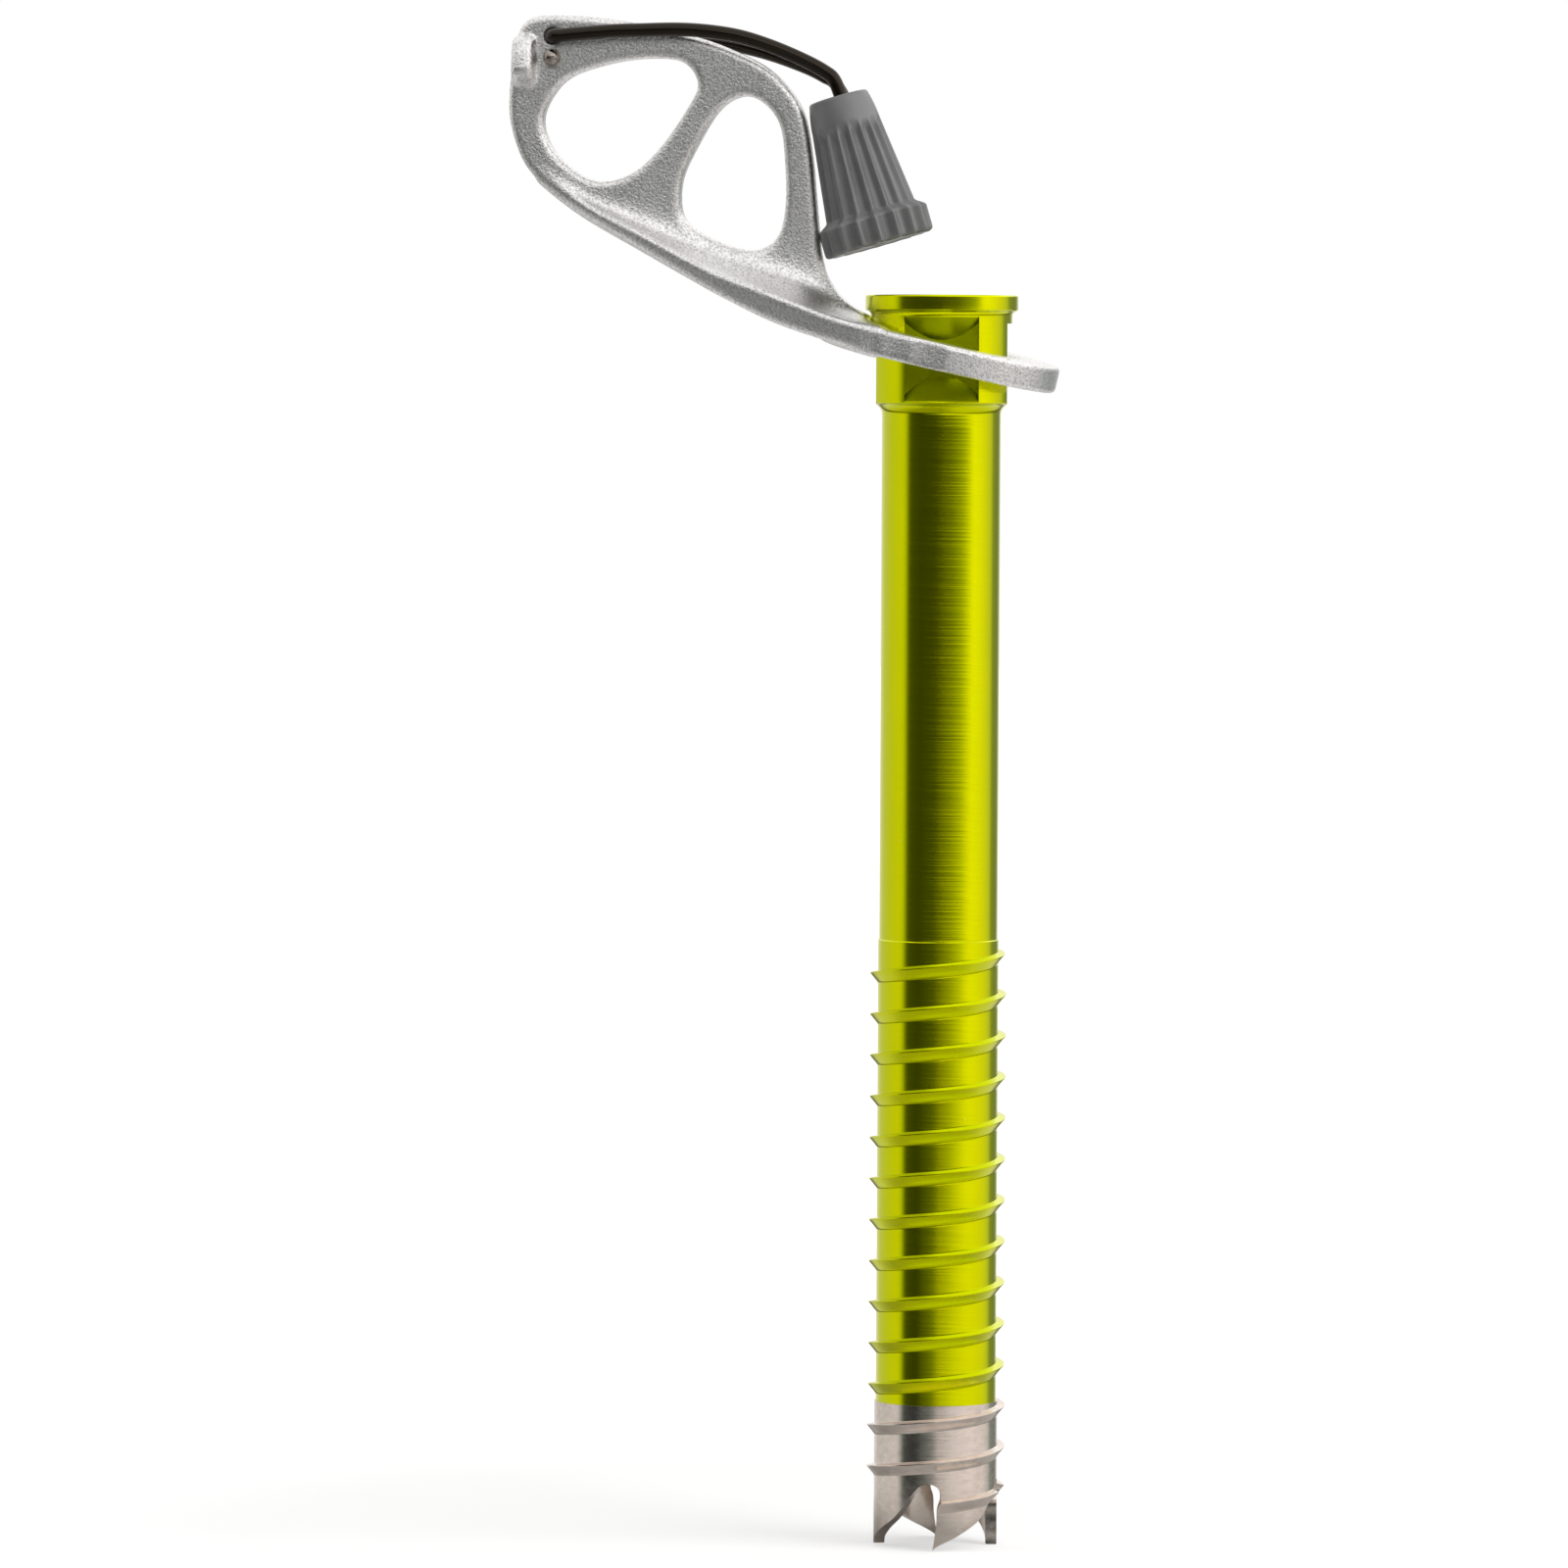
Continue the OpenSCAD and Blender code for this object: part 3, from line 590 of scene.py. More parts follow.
def gap_cutter(name, azimuth):
    """Space in front of one tooth, between two cylinders inside and outside the wall."""
    h = np.concatenate([[-0.15, -0.05], np.linspace(0, 0.9, 46), np.linspace(0.9, 0.98, 9)[1:],
                        1 - 0.02 * np.cos(np.linspace(0, math.pi / 2, 9)[1:-1]), [0.9999]])
    a = smooth_table(GAP_BACK, h)
    b = np.maximum(smooth_table(GAP_FACE, h), a + 0.05)
    columns = 31
    share = np.linspace(0, 1, columns)
    turn = np.radians(a[:, None] + (b - a)[:, None] * share + azimuth)
    z = -REACH + h[:, None] * GAP_HEIGHT + 0 * turn
    sheets = [np.stack([r * np.cos(turn), r * np.sin(turn), z], -1).reshape(-1, 3)
              for r in (BORE_R - 1, TIP_CREST_R + 1)]
    n_rows = len(h)
    count = n_rows * columns
    sheet = grid(n_rows, columns, wrap=False)
    quads = [sheet, sheet + count]
    for i in (0, n_rows - 1):
        p = i * columns + np.arange(columns - 1)
        quads.append(np.stack([p, p + 1, p + 1 + count, p + count], -1))
    for j in (0, columns - 1):
        p = np.arange(n_rows - 1) * columns + j
        quads.append(np.stack([p, p + columns, p + columns + count, p + count], -1))
    points, faces = weld(np.concatenate(sheets), np.concatenate(quads))
    return add_piece(name, points, faces, STEEL)


def make_tip():
    chamfer = 0.15
    spigot_z = SEAM_Z + SPIGOT_LEN
    thread = threaded(TIP_R, TIP_CREST_R, SEAM_Z, -REACH, LAST_TURN)
    top = seam_face(edge_ring(SEAM_Z, TIP_R, TIP_CREST_R, LAST_TURN),
                    [(SPIGOT_R, SEAM_Z), (SPIGOT_R, spigot_z), (BORE_R, spigot_z)])
    bore = [(BORE_R, z) for z in (spigot_z, -140, -150, -160, -REACH + chamfer)]
    foot = [(BORE_R + chamfer, -REACH)]
    low = edge_ring(-REACH, TIP_R, TIP_CREST_R, LAST_TURN)
    inside = revolved(bore + foot)
    base = np.concatenate([lathe(foot), low]), grid(2, COLUMNS)
    points, faces = assemble([thread, top, inside, base])
    piece = add_piece("toothed_tip", points, faces, STEEL)
    gaps = [gap_cutter("gap", GAP_AZIMUTH + 360 / TEETH * k) for k in range(TEETH)]
    cut(piece, gaps, STEEL)
    return piece


tube = make_tube()
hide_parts("tube_body")
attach(tube, "screw")
tip = make_tip()
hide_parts("cutting_tip")
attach(tip, "screw")


# ---------------------------------------------------------------- forged hanger

# Outlines and curves of the hanger as the photograph shows it, in (x, z) of its own frame.
PLATE_LINE = [(-9, -1.6), (-15, -1.4), (-22, -1), (-31.5, 0.7), (-38, 2.4), (-46, 4.75),
              (-53.7, 7.05), (-58.1, 8.7), (-62.1, 10.7), (-65.2, 13.1), (-67.9, 17.3),
              (-69.2, 21.3), (-69.9, 26.9), (-70, 30.6), (-68.9, 33.1), (-66.2, 34.3),
              (-60.5, 35.4), (-53.2, 36.1), (-46.7, 36.1), (-40.7, 35.65), (-34.1, 34.2),
              (-29.8, 31.75), (-26.9, 28.5), (-24.6, 23.2), (-22.9, 17.9), (-21.5, 13.2),
              (-20.3, 9.2), (-18.5, 5.75), (-15.1, 3.25), (-9, 1.6)]
OUTER_HOLE = [(-63.7, 20.9), (-61.7, 25.75), (-57.05, 28.95), (-51.5, 31.25), (-45.9, 32.1),
              (-43, 29.65), (-43.6, 26), (-46.25, 19.3), (-49.5, 14.7), (-54.2, 12.6),
              (-59.5, 14.25), (-62.7, 17.2)]
INNER_HOLE = [(-42.15, 14.9), (-41.3, 20.2), (-38.85, 27), (-35, 29.5), (-30.5, 27.1), (-28, 21),
              (-26.5, 14.8), (-26.75, 10.5), (-29.8, 8), (-35.3, 8.2), (-40.45, 10.15)]
# The arm's lower edge, its wall's height above that, and where its hollow top meets the plate.
ARM_UNDER = [(-62, 10.75), (-54, 7.35), (-46, 5), (-38, 2.65), (-31.5, 0.8), (-22, -1.05),
             (-15, -1.6), (-8, -1.9)]
ARM_EDGE = [(-62, 1.6), (-54, 2), (-46, 2.4), (-38, 2.75), (-31.5, 3.3), (-26, 3.9), (-22, 4),
            (-15, 3.75), (-8, 3.75)]
ARM_TOP = [(-62, 12.6), (-54, 9.8), (-46, 9.6), (-38, 9), (-31.5, 8.2), (-26, 8), (-22, 7.5),
           (-18.5, 6), (-14.5, 3.6), (-8, 2)]
RING_R = 17.0
RING_T = 3.9
RING_HOLE_R = 10.8
ARM_LEFT = -62.0
ARM_RIGHT = -8.0
ARM_INSET = 0.3
WALL_LEAN = 0.22
PRESS_R = 14

# Spacing of the grid on which the hanger's shape is worked out, and the grid's corners.
GRID_STEP = 0.22
GRID_LOW = np.array([-71.2, -18.2, -3.2])
GRID_HIGH = np.array([18.2, 18.2, 37.4])


def distance_2d(outline, x, z):
    """Signed distance to a closed outline, below zero inside it."""
    best = np.full(x.shape, 1e9, np.float32)
    inside = np.zeros(x.shape, bool)
    for (x0, z0), (x1, z1) in zip(outline, np.roll(outline, -1, 0)):
        ex, ez = x1 - x0, z1 - z0
        t = np.clip(((x - x0) * ex + (z - z0) * ez) / (ex * ex + ez * ez + 1e-12), 0, 1)
        best = np.minimum(best, (x - x0 - t * ex) ** 2 + (z - z0 - t * ez) ** 2)
        if z0 != z1:
            crosses = ((z0 > z) != (z1 > z)) & (x < ex * (z - z0) / ez + x0)
            inside ^= crosses
    best = np.sqrt(best)
    return np.where(inside, -best, best)


def soft_min(a, b, k):
    h = np.maximum(k - np.abs(a - b), 0) / k
    return np.minimum(a, b) - h * h * k * 0.25


def rounded(a, b, r):
    """Crossing of two half-distances with its edge rounded to radius r."""
    a = a + r
    b = b + r
    return (np.minimum(np.maximum(a, b), 0)
            + np.sqrt(np.maximum(a, 0) ** 2 + np.maximum(b, 0) ** 2) - r)


def blur(field, sigma):
    reach = int(math.ceil(2.5 * sigma))
    weights = np.exp(-0.5 * (np.arange(-reach, reach + 1) / sigma) ** 2)
    weights = (weights / weights.sum()).astype(np.float32)
    for axis in range(3):
        padded = np.pad(field, [(reach, reach) if a == axis else (0, 0) for a in range(3)],
                        mode="edge")
        total = np.zeros_like(field)
        for n, w in enumerate(weights):
            cutout = [slice(None)] * 3
            cutout[axis] = slice(n, n + field.shape[axis])
            total += w * padded[tuple(cutout)]
        field = total
    return field


def surface(field, origin, step):
    """Mesh of the field's zero level: one point in each cell that the level crosses."""
    inside = field < 0
    corners = np.zeros(tuple(n - 1 for n in field.shape), np.uint8)
    shifts = [(i, j, k) for i in (0, 1) for j in (0, 1) for k in (0, 1)]

    def shifted(array, i, j, k):
        nx, ny, nz = array.shape
        return array[i:nx - 1 + i, j:ny - 1 + j, k:nz - 1 + k]

    for s in shifts:
        corners += shifted(inside, *s)
    cells = np.argwhere((corners > 0) & (corners < 8))
    total = np.zeros((len(cells), 3))
    count = np.zeros(len(cells))
    for a in shifts:
        for axis in range(3):
            if a[axis]:
                continue
            b = tuple(v + (n == axis) for n, v in enumerate(a))
            fa = field[tuple((cells + a).T)]
            fb = field[tuple((cells + b).T)]
            hit = (fa < 0) != (fb < 0)
            t = np.where(hit, fa / np.where(hit, fa - fb, 1), 0)
            where = np.array(a, float) + t[:, None] * np.eye(3)[axis]
            total += np.where(hit[:, None], where, 0)
            count += hit
    points = origin + (cells + total / count[:, None]) * step
    index = np.full(corners.shape, -1, np.int64)
    index[tuple(cells.T)] = np.arange(len(cells))
    quads = []
    for axis in range(3):
        u, v = [a for a in range(3) if a != axis]
        low = [slice(None)] * 3
        high = [slice(None)] * 3
        low[axis] = slice(0, -1)
        high[axis] = slice(1, None)
        crossing = inside[tuple(low)] != inside[tuple(high)]
        edge = np.argwhere(crossing)
        edge = edge[(edge[:, u] > 0) & (edge[:, v] > 0)
                    & (edge[:, u] < field.shape[u] - 1) & (edge[:, v] < field.shape[v] - 1)]
        du = np.eye(3, dtype=int)[u]
        dv = np.eye(3, dtype=int)[v]
        quads.append(np.stack([index[tuple((edge - du - dv).T)], index[tuple((edge - dv).T)],
                               index[tuple(edge.T)], index[tuple((edge - du).T)]], -1))
    return points, np.concatenate(quads)


def arm_field(x, y, z, holes):
    """Arm in front of the plate, from the nose to the ring's edge, with a hollow top."""
    half = PLATE_T / 2 - ARM_INSET
    touch = (math.pi + math.atan2(half, -ARM_LEFT)
             + math.acos(RING_R / math.hypot(ARM_LEFT, half)))
    meet_x, meet_y = RING_R * math.cos(touch), RING_R * math.sin(touch)
    front = -half + (meet_y + half) * (x - ARM_LEFT) / (meet_x - ARM_LEFT)
    sink = smooth_table(ARM_UNDER, x).astype(np.float32)
    edge = sink + smooth_table(ARM_EDGE, x).astype(np.float32)
    top = np.maximum(smooth_table(ARM_TOP, x).astype(np.float32), edge + 0.05)
    inward = np.minimum(front + 0.5, -PLATE_T / 2 - 0.6)
    across = np.clip((y - inward) / (-PLATE_T / 2 - inward), 0, 0.999)
    fall = np.sqrt(1 - across ** 2)
    lift = edge + (top - edge) * (1 - fall)
    steep = (top - edge) / np.abs(-PLATE_T / 2 - inward) * across / fall
    over = (z - lift) / np.sqrt(1 + steep ** 2)
    wall = (front + WALL_LEAN * np.maximum(edge - z, 0) - y) * 0.977
    arm = np.maximum(rounded(wall, over, 1.0), rounded(wall, sink - z, 0.9))
    ends = np.maximum(x - ARM_RIGHT, ARM_LEFT - x)
    arm = np.maximum(arm, np.maximum(y - 0.5, ends))
    return rounded(arm, 0.2 - holes[:, None, :] + 0 * y, 0.8)


def ring_field(z, rho):
    rim = rounded(rho - RING_R, np.abs(z) - RING_T / 2, 0.7)
    eye = rounded(RING_HOLE_R - rho, np.abs(z) - RING_T / 2, 1.1)
    return np.maximum(rim, eye)


def with_lugs(body, x, y, z, rho):
    """Clears the ring's hole, presses its front and back in a little and adds its two lugs."""
    body = np.maximum(body, -np.maximum(rho - RING_HOLE_R, np.abs(z) - 8))
    for side in (-1, 1):
        press = PRESS_R - np.sqrt(x * x + (y - side * (RING_R - 0.45 + PRESS_R)) ** 2)
        body = np.maximum(body, np.where(np.abs(z) < 3, press, -9))
        lug = np.maximum(np.maximum(np.abs(x) - 3, np.abs(z) - 1.7),
                         np.maximum(8.6 - side * y, side * y - 15))
        body = soft_min(body, lug, 0.5)
    return body


def make_hanger():
    shape = np.ceil((GRID_HIGH - GRID_LOW) / GRID_STEP).astype(int) + 1
    lines = [(low + GRID_STEP * np.arange(n)).astype(np.float32)
             for low, n in zip(GRID_LOW, shape)]
    x, y, z = lines[0][:, None, None], lines[1][None, :, None], lines[2][None, None, :]
    flat_x = x[:, 0, :] + 0 * z[0]
    flat_z = z[0] + 0 * x[:, 0, :]
    holes = np.minimum(*(distance_2d(curve(hole, 6, closed=True), flat_x, flat_z)
                         for hole in (OUTER_HOLE, INNER_HOLE)))
    outline = np.maximum(distance_2d(curve(PLATE_LINE, 5), flat_x, flat_z), -holes)
    plate = rounded(outline[:, None, :], np.abs(y) - PLATE_T / 2, 0.95)
    rho = np.sqrt(x * x + y * y)

    body = soft_min(plate, arm_field(x, y, z, holes), 1.6)
    body = soft_min(body, ring_field(z, rho), 1.4)
    body = with_lugs(body, x, y, z, rho)
    body = soft_min(body, nose_lip(x, y, z), 0.5)
    for (hx, hz), r in ((PIVOT, WIRE_R + 0.06), (RIVET_AT, 0.8)):
        pin = r - np.sqrt((x - hx) ** 2 + (z - hz) ** 2)
        body = np.maximum(body, np.where(np.abs(y) < 5, pin, -9))
    body = blur(np.clip(body, -2, 2), 0.2 / GRID_STEP)
    points, quads = surface(body, GRID_LOW, GRID_STEP)
    return add_piece("forged_hanger", on_head(points), quads.tolist(), ALLOY, sharp=60)


def nose_lip(x, y, z):
    """Raised lip on the nose, which leans out towards its lower end and is cut off there."""
    turn = math.radians(-13)
    dx, dz = x + 67.9, z - 25.9
    u = dx * math.cos(turn) - dz * math.sin(turn)
    w = dx * math.sin(turn) + dz * math.cos(turn)
    face = np.interp(w, [-3.4, -2.3, -0.9, -0.1, 2.2, 4.6],
                     [-1.5, -2.3, -4.4, -4.8, -4.3, -3.3]).astype(np.float32)
    bar = rounded(np.abs(u) - 1.65 + 0 * y, (face - y) * 0.94, 1.1)
    bar = rounded(bar, w - 4.8, 1.0)
    return np.maximum(bar, np.maximum(y, -4.5 - w))


hanger = make_hanger()
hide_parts("hanger")
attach(hanger, "hanger")


# ---------------------------------------------------------------- crank

# How far the back strand hangs below the front one, by x.
BACK_SAG = [(-60, 0), (-52, 0.8), (-44, 1.4), (-37.5, 1.4), (-32, 1.1), (-28, 0.85), (-25.5, 0.75),
            (-23.4, 0.4), (-22.6, 0)]


def wire_path():
    """The wire's centre line: along the plate's back, through it and back along its front."""

    def aim(deg):
        return np.array([math.cos(math.radians(deg)), math.sin(math.radians(deg))])

    half = PLATE_T / 2 + 0.3 + WIRE_R
    bend = WIRE_R + 0.15
    start = aim(15)
    down = aim(KNOB_ANGLE)
    entry = KNOB_TOP + 0.6 * np.array([-down[1], down[0]])
    route = [PIVOT + bend * start, (-57, 34), (-52.5, 35.2), (-47.3, 36.5), (-42.8, 37.25),
             (-38.2, 37.55), (-33.4, 37.15), (-28.7, 36.3), (-25.6, 35.45), (-23.9, 34.55),
             entry + 0.6 * down, entry + 1.6 * down, entry + 3.6 * down]
    flat = curve(route, 12)
    close_x, close_y = -40.0, 1.19
    strands = []
    for side in (1, -1):
        t = np.clip((flat[:, 0] - close_x) / (KNOB_TOP[0] - close_x), 0, 1)
        ease = t * t * (3 - 2 * t)
        drop = np.interp(flat[:, 0], *np.array(BACK_SAG).T) * (side > 0)
        y = side * (half + (close_y - half) * ease)
        strand = np.stack([flat[:, 0], y, flat[:, 1] - drop], -1)
        turn = np.radians(np.arange(0, 90, 10))
        out = PIVOT + bend * (1 - np.cos(turn))[:, None] * start
        corner = np.stack([out[:, 0], side * (half - bend * (1 - np.sin(turn))), out[:, 1]], -1)
        strands.append(np.concatenate([corner, strand]))
    return np.concatenate([strands[0][::-1], strands[1]]), start


def make_wire():
    path, start = wire_path()
    sides = 28
    along = np.gradient(path, axis=0)
    along /= np.linalg.norm(along, axis=1)[:, None]
    across = np.cross(along, [0, 1, 0])
    flat = np.linalg.norm(across, axis=1) < 0.01
    across[flat] = (-start[1], 0, start[0])
    across *= np.where(across[:, 2] < 0, -1, 1)[:, None]
    across /= np.linalg.norm(across, axis=1)[:, None]
    third = np.cross(along, across)
    turn = 2 * math.pi * np.arange(sides) / sides
    rings = (path[:, None] + WIRE_R * (np.cos(turn)[:, None] * across[:, None]
                                       + np.sin(turn)[:, None] * third[:, None]))
    quads = grid(len(path), sides).tolist()
    last = (len(path) - 1) * sides
    quads += [list(range(sides)), list(range(last, last + sides))]
    return add_piece("crank_wire", on_head(rings.reshape(-1, 3)), quads, BLACK)


def make_knob():
    columns = 360
    flutes = 18
    top_r, low_r, rim_r, hole_r = 4.5, 6.6, 8.05, 2.45
    cavity_r, cavity_top, neck_r, neck_top = 4.5, 13.54, 2.76, 1.54
    recess_r, recess = 5.3, 2.0
    top_round, foot_round = 0.55, 0.6
    rim_top = KNOB_LEN - 4.8
    turn = 2 * math.pi * np.arange(columns) / columns
    share = (turn * flutes / (2 * math.pi)) % 1
    scallop = 0.5 + 0.5 * np.cos(math.pi * np.abs(2 * share - 1) ** 1.5)

    def base(d):
        cone = top_r + (low_r - top_r) * min(d, rim_top) / rim_top
        cone -= 0.28 * max(0, 1 - d / 3.2) ** 2
        t = min(max((d - rim_top + 0.25) / 1.35, 0), 1)
        return cone + (rim_r - low_r) * t * t * (3 - 2 * t)

    def depth(d):
        begin = min(max((d - 3.9) / 2.2, 0), 1)
        t = min(max((d - rim_top) / 1.2, 0), 1)
        return begin * begin * (3 - 2 * begin) * (0.80 + 0.35 * t)

    rings = []

    def ring(d, r, cut_depth=0.0):
        radius = r - cut_depth * scallop
        rings.append(np.stack([radius * np.cos(turn), radius * np.sin(turn),
                               np.full(columns, -d)], -1))

    ring(neck_top, hole_r)
    ring(0.2, hole_r)
    ring(0.0, hole_r + 0.2)
    for a in np.radians([0, 18, 36, 54, 72, 90]):
        ring(top_round * (1 - math.cos(a)), base(top_round) - top_round * (1 - math.sin(a)))
    levels = np.concatenate([np.linspace(1.1, rim_top - 0.4, 44),
                             np.linspace(rim_top - 0.25, rim_top + 1.2, 14),
                             np.linspace(rim_top + 1.5, KNOB_LEN - 0.7, 8)])
    for d in levels:
        ring(d, base(d), depth(d))
    for a in np.radians([15, 30, 45, 60, 75, 90]):
        ring(KNOB_LEN - foot_round + foot_round * math.sin(a),
             rim_r - foot_round * (1 - math.cos(a)), depth(KNOB_LEN))
    ring(KNOB_LEN, recess_r + 0.15)
    ring(KNOB_LEN - 0.15, recess_r)
    ring(KNOB_LEN - recess, recess_r)
    ring(KNOB_LEN - recess, cavity_r)
    ring(cavity_top, cavity_r)
    ring(cavity_top, neck_r)
    ring(neck_top, neck_r)
    rings.append(rings[0])
    points, faces = weld(np.concatenate(rings), grid(len(rings), columns))
    return add_piece("grip_knob", at_knob(points), faces, PLASTIC, sharp=50)


def turned_piece(name, profile, place, material):
    columns = 96
    points, faces = weld(lathe(profile, columns), grid(len(profile), columns))
    return add_piece(name, place(points), faces, material, sharp=40)


def make_plug():
    foot, plug_r = -KNOB_LEN, 5.28
    profile = [(0, foot + 0.35), (1.0, foot + 0.35), (1.25, foot + 0.1), (4.95, foot + 0.1),
               (5.15, foot + 0.25), (plug_r, foot + 0.4), (plug_r, foot + 2), (0, foot + 2)]
    return turned_piece("end_plug", profile, at_knob, PLASTIC)


def at_rivet(points):
    swapped = np.stack([points[:, 0] + RIVET_AT[0], -points[:, 2], points[:, 1] + RIVET_AT[1]], -1)
    return on_head(swapped)


def make_rivet():
    ball_r = 1.15
    ball_z = PLATE_T / 2 + ball_r * 0.8
    profile = [(0, -2.5), (1.1, -2.5), (1.3, -2.35), (1.3, -2.05), (1.15, -2.0), (0.78, -2.0),
               (0.78, 1.9), (1.0, 2.1)]
    profile += [(ball_r * math.sin(a), ball_z - ball_r * math.cos(a))
                for a in np.radians([55, 65, 75, 85, 95, 105, 115, 125, 135, 145, 155, 165, 172])]
    profile += [(0, ball_z + ball_r)]
    return turned_piece("stop_rivet_head", profile, at_rivet, RIVET)


for piece, node, body, slot in (
        (make_wire(), "handle_wire", "handle", "wire_coating"),
        (make_knob(), "knob", "knob", "knob_plastic"),
        (make_plug(), "knob_plug", "knob", "knob_plastic"),
        (make_rivet(), "stop_rivet", "hanger", "rivet_steel")):
    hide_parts(node)
    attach(piece, body)

for node, material in (("knob_spindle", SPINDLE), ("spindle_washer", WASHER)):
    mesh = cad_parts[node].data
    if mesh.materials:
        mesh.materials[0] = material
    else:
        mesh.materials.append(material)


# ---------------------------------------------------------------- studio

# What glossy surfaces see round the object, by azimuth in degrees from the camera's side:
# the brightness near the horizon, below it and above it.
ROOM = [(-180, 1.0), (-152, 0.80), (-138, 0.70), (-113, 0.72), (-84, 0.79), (-75, 0.76),
        (-69.5, 0.45), (-64, 0.10), (-60, 0.07), (-40, 0.05), (-20, 0.04), (-7, 0.04),
        (8.5, 0.09), (28, 0.24), (40, 0.42), (48, 0.72), (54, 1.10), (63, 1.18), (82, 1.06),
        (98, 0.90), (110, 0.76), (117, 0.62), (123, 0.30), (136, 0.26), (146, 0.22),
        (158, 0.48), (166, 1.0), (180, 1.0)]
ROOM_TOP = 1.2
BELOW = [(-180, 0.8), (-110, 0.65), (-60, 0.34), (0, 0.34), (45, 0.7), (180, 0.8)]
ABOVE = [(-180, 1.2), (-140, 1.05), (-100, 0.8), (-35, 0.65), (0, 1.3), (45, 1.5), (140, 1.4),
         (180, 1.2)]

# How far the room near the horizon is turned towards -X, in shares of LEAN_UNIT degrees, by
# the height of the direction that a reflection looks in.
LEAN_UNIT = 50
LEAN = [(-0.14, 1.0), (-0.120, 1.0), (-0.115, 0.90), (-0.108, 0.52), (-0.099, 0.44),
        (-0.090, 0.37), (-0.081, 0.22), (-0.072, 0.10), (-0.0555, 0.04), (-0.034, 0.0),
        (-0.004, -0.30), (0.02, -0.30)]


def grey(level):
    return (level, level, level, 1)


def studio_world():
    """White behind the object, a dark room in front of it and soft boxes at its sides."""
    world = bpy.data.worlds.new("studio")
    bpy.context.scene.world = world
    t = Tree(world)
    axes = t.axes(t.coordinates("Generated"))
    height = axes[2]
    azimuth = t.math("ARCTAN2", axes[0], t.math("MULTIPLY", axes[1], -1.0))
    around = t.range(azimuth, -math.pi, math.pi, 0, 1)

    lean = t.ramp(t.range(height, -0.14, 0.02, 0, 1), LEAN, -0.14, 0.02, 0.30, 1.30)
    lean = t.range(lean, 0, 1, -0.30, 1.0)
    upper = t.range(azimuth, math.radians(-6), math.radians(25), 0, 1)
    lower = t.range(azimuth, math.radians(-60), math.radians(-28), 0, 1)
    share = t.range(height, -0.109, -0.116, 0, 1)
    left = t.math("ADD", t.math("MULTIPLY", upper, t.math("SUBTRACT", 1.0, share)),
                  t.math("MULTIPLY", lower, share))
    inner = t.math("MULTIPLY", left, t.range(azimuth, math.radians(50), math.radians(100), 1, 0))
    turned = t.math("ADD", azimuth, t.math("MULTIPLY", t.math("MULTIPLY", lean, inner),
                                           math.radians(LEAN_UNIT)))
    level = t.ramp(t.range(turned, -math.pi, math.pi, 0, 1), ROOM, -180, 180, 0, ROOM_TOP)
    level = t.math("MULTIPLY", level, ROOM_TOP)
    tint = t.mix(t.range(level, 0.4, 0.9, 0, 1), (0.94, 1.06, 1.0, 1), (1.01, 0.955, 0.94, 1))
    level = t.mix(1.0, level, tint, "MULTIPLY")

    below = t.ramp(around, BELOW, -180, 180, 0, 2)
    under = t.range(height, -0.30, -0.45, 0, 1)
    below = t.mix(1.0, t.mix(under, grey(0.24), grey(2)), below, "MULTIPLY")
    above = t.ramp(around, ABOVE, -180, 180, 0, 2.5)
    above = t.mix(1.0, above, (2.5, 2.5, 2.48, 1), "MULTIPLY")
    above = t.mix(t.range(height, 0.55, 0.80, 0, 1), above, grey(1.0))
    room = t.mix(t.range(height, -0.20, -0.27, 0, 1), level, below)
    room = t.mix(t.range(height, 0.14, 0.40, 0, 1), room, above)

    rays = t.add("ShaderNodeLightPath").outputs
    clear = t.math("ADD", rays["Is Camera Ray"], rays["Is Transmission Ray"], True)
    seen = t.mix(rays["Is Glossy Ray"], grey(0.26), room)
    background = t.nodes["Background"]
    t.links.new(t.mix(clear, seen, grey(1)), background.inputs["Color"])
    background.inputs["Strength"].default_value = 1.0


def floor_material():
    """White to the camera with the object's shadow; reflections far off see the room."""
    t = new_material("floor")
    away = t.off_axis(t.axes(t.coordinates("Object")))
    rays = t.add("ShaderNodeLightPath").outputs
    glow = t.range(away, 0.10, 0.40, 0.55, 1.0)
    shader = t.nodes["Principled BSDF"]
    t.feed(shader, {"Base Color": (0.8, 0.8, 0.8, 1), "Roughness": 0.9,
                    "Specular IOR Level": 0.0, "Emission Color": (1, 1, 1, 1),
                    "Emission Strength": t.math("MULTIPLY", glow, rays["Is Camera Ray"])})
    gone = t.math("MULTIPLY", rays["Is Glossy Ray"], t.range(away, 0.03, 0.07, 0, 1))
    clear = t.add("ShaderNodeBsdfTransparent").outputs[0]
    mixed = t.add("ShaderNodeMixShader", {0: gone, 1: shader.outputs[0], 2: clear})
    t.links.new(mixed.outputs[0], t.nodes["Material Output"].inputs["Surface"])
    return t.owner


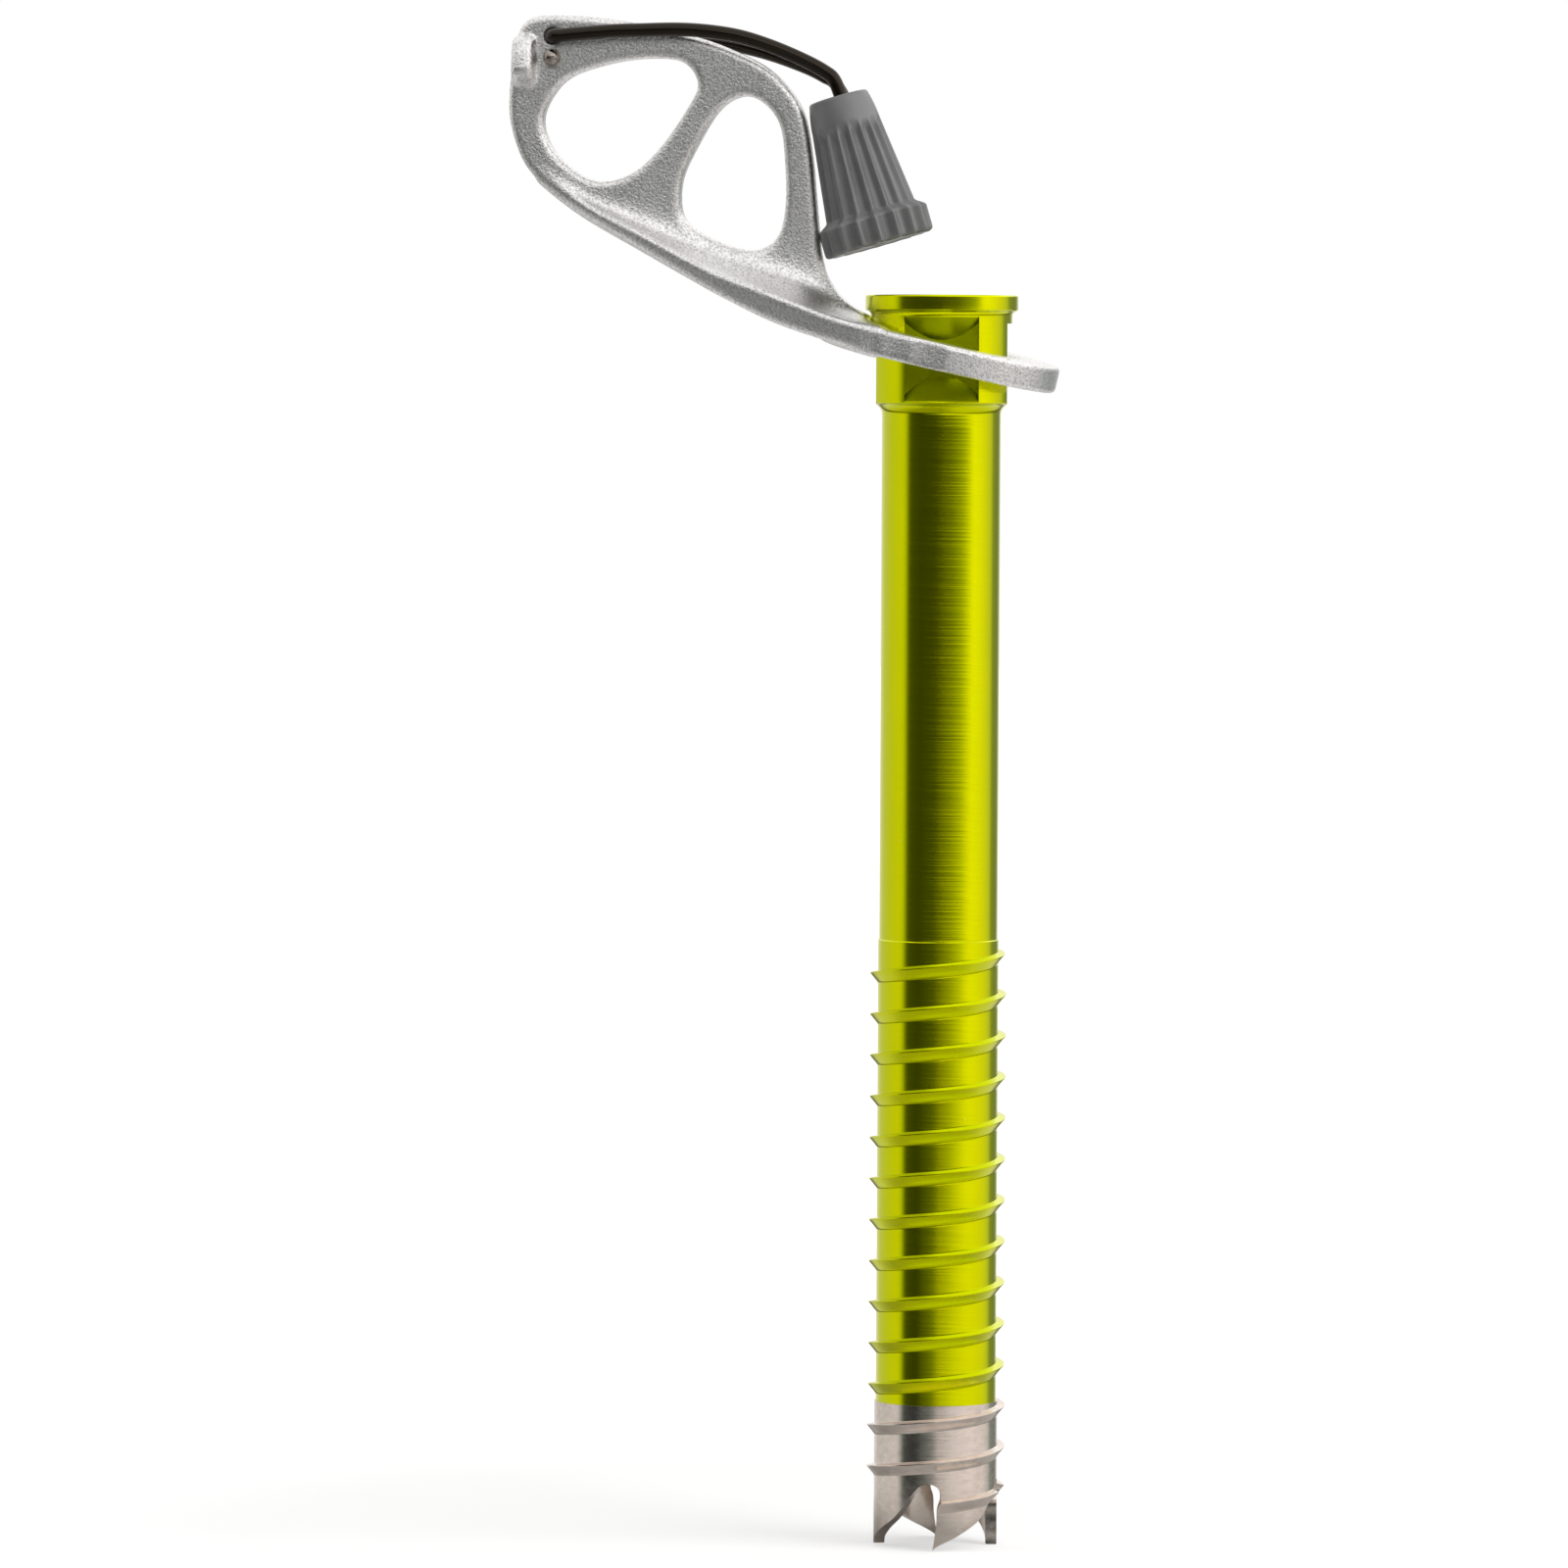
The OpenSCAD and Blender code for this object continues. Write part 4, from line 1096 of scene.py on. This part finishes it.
def add_floor():
    level = -REACH - 0.1
    half = 4000
    points = [(-half, -half, level), (half, -half, level), (half, half, level),
              (-half, half, level)]
    floor = add_piece("floor", points, [(0, 1, 2, 3)], floor_material())


def softbox(name, azimuth, height, distance, size, radiance):
    """Area light whose surface has the given radiance, turned to the object."""
    light = bpy.data.lights.new(name, "AREA")
    light.shape = "RECTANGLE"
    light.size, light.size_y = size
    light.energy = radiance * math.pi * size[0] * size[1]
    lamp = bpy.data.objects.new(name, light)
    bpy.context.collection.objects.link(lamp)
    turn = math.radians(azimuth)
    spot = Vector((distance * math.sin(turn), -distance * math.cos(turn), height))
    lamp.location = spot
    lamp.rotation_euler = (Vector((0, 0, -0.06)) - spot).to_track_quat("-Z", "Y").to_euler()
    lamp.visible_camera = False
    lamp.visible_glossy = False


def add_camera():
    """The photograph's camera: 1.29 m away, with a long lens, looking slightly down."""
    pitch = math.radians(2.55)
    yaw = math.atan2(22.39, 1290)
    roll = math.radians(0.29)
    ahead = Vector((-math.sin(yaw) * math.cos(pitch), math.cos(yaw) * math.cos(pitch),
                    -math.sin(pitch)))
    right = Vector((math.cos(yaw), math.sin(yaw), 0))
    down = ahead.cross(right)
    turned_right = right * math.cos(roll) - down * math.sin(roll)
    turned_down = right * math.sin(roll) + down * math.cos(roll)
    photo_size = 1600
    data = bpy.data.cameras.new("camera")
    data.lens = 206.6
    data.sensor_width = 36
    data.shift_x = 0.8 / photo_size
    data.shift_y = -1.4 / photo_size
    camera = bpy.data.objects.new("camera", data)
    bpy.context.collection.objects.link(camera)
    place = Matrix((turned_right, -turned_down, -ahead)).transposed().to_4x4()
    place.translation = Vector((0, -1.290, 0.003))
    camera.matrix_world = place
    bpy.context.scene.camera = camera


studio_world()
add_floor()
softbox("left_box", -106, 0.05, 1.0, (1.2, 1.7), 0.22)
softbox("right_box", 62, 0.45, 0.9, (0.8, 0.8), 2.2)
softbox("top_box", 30, 1.2, 0.35, (1.4, 1.4), 0.6)
add_camera()
bpy.context.scene.view_settings.view_transform = "Standard"
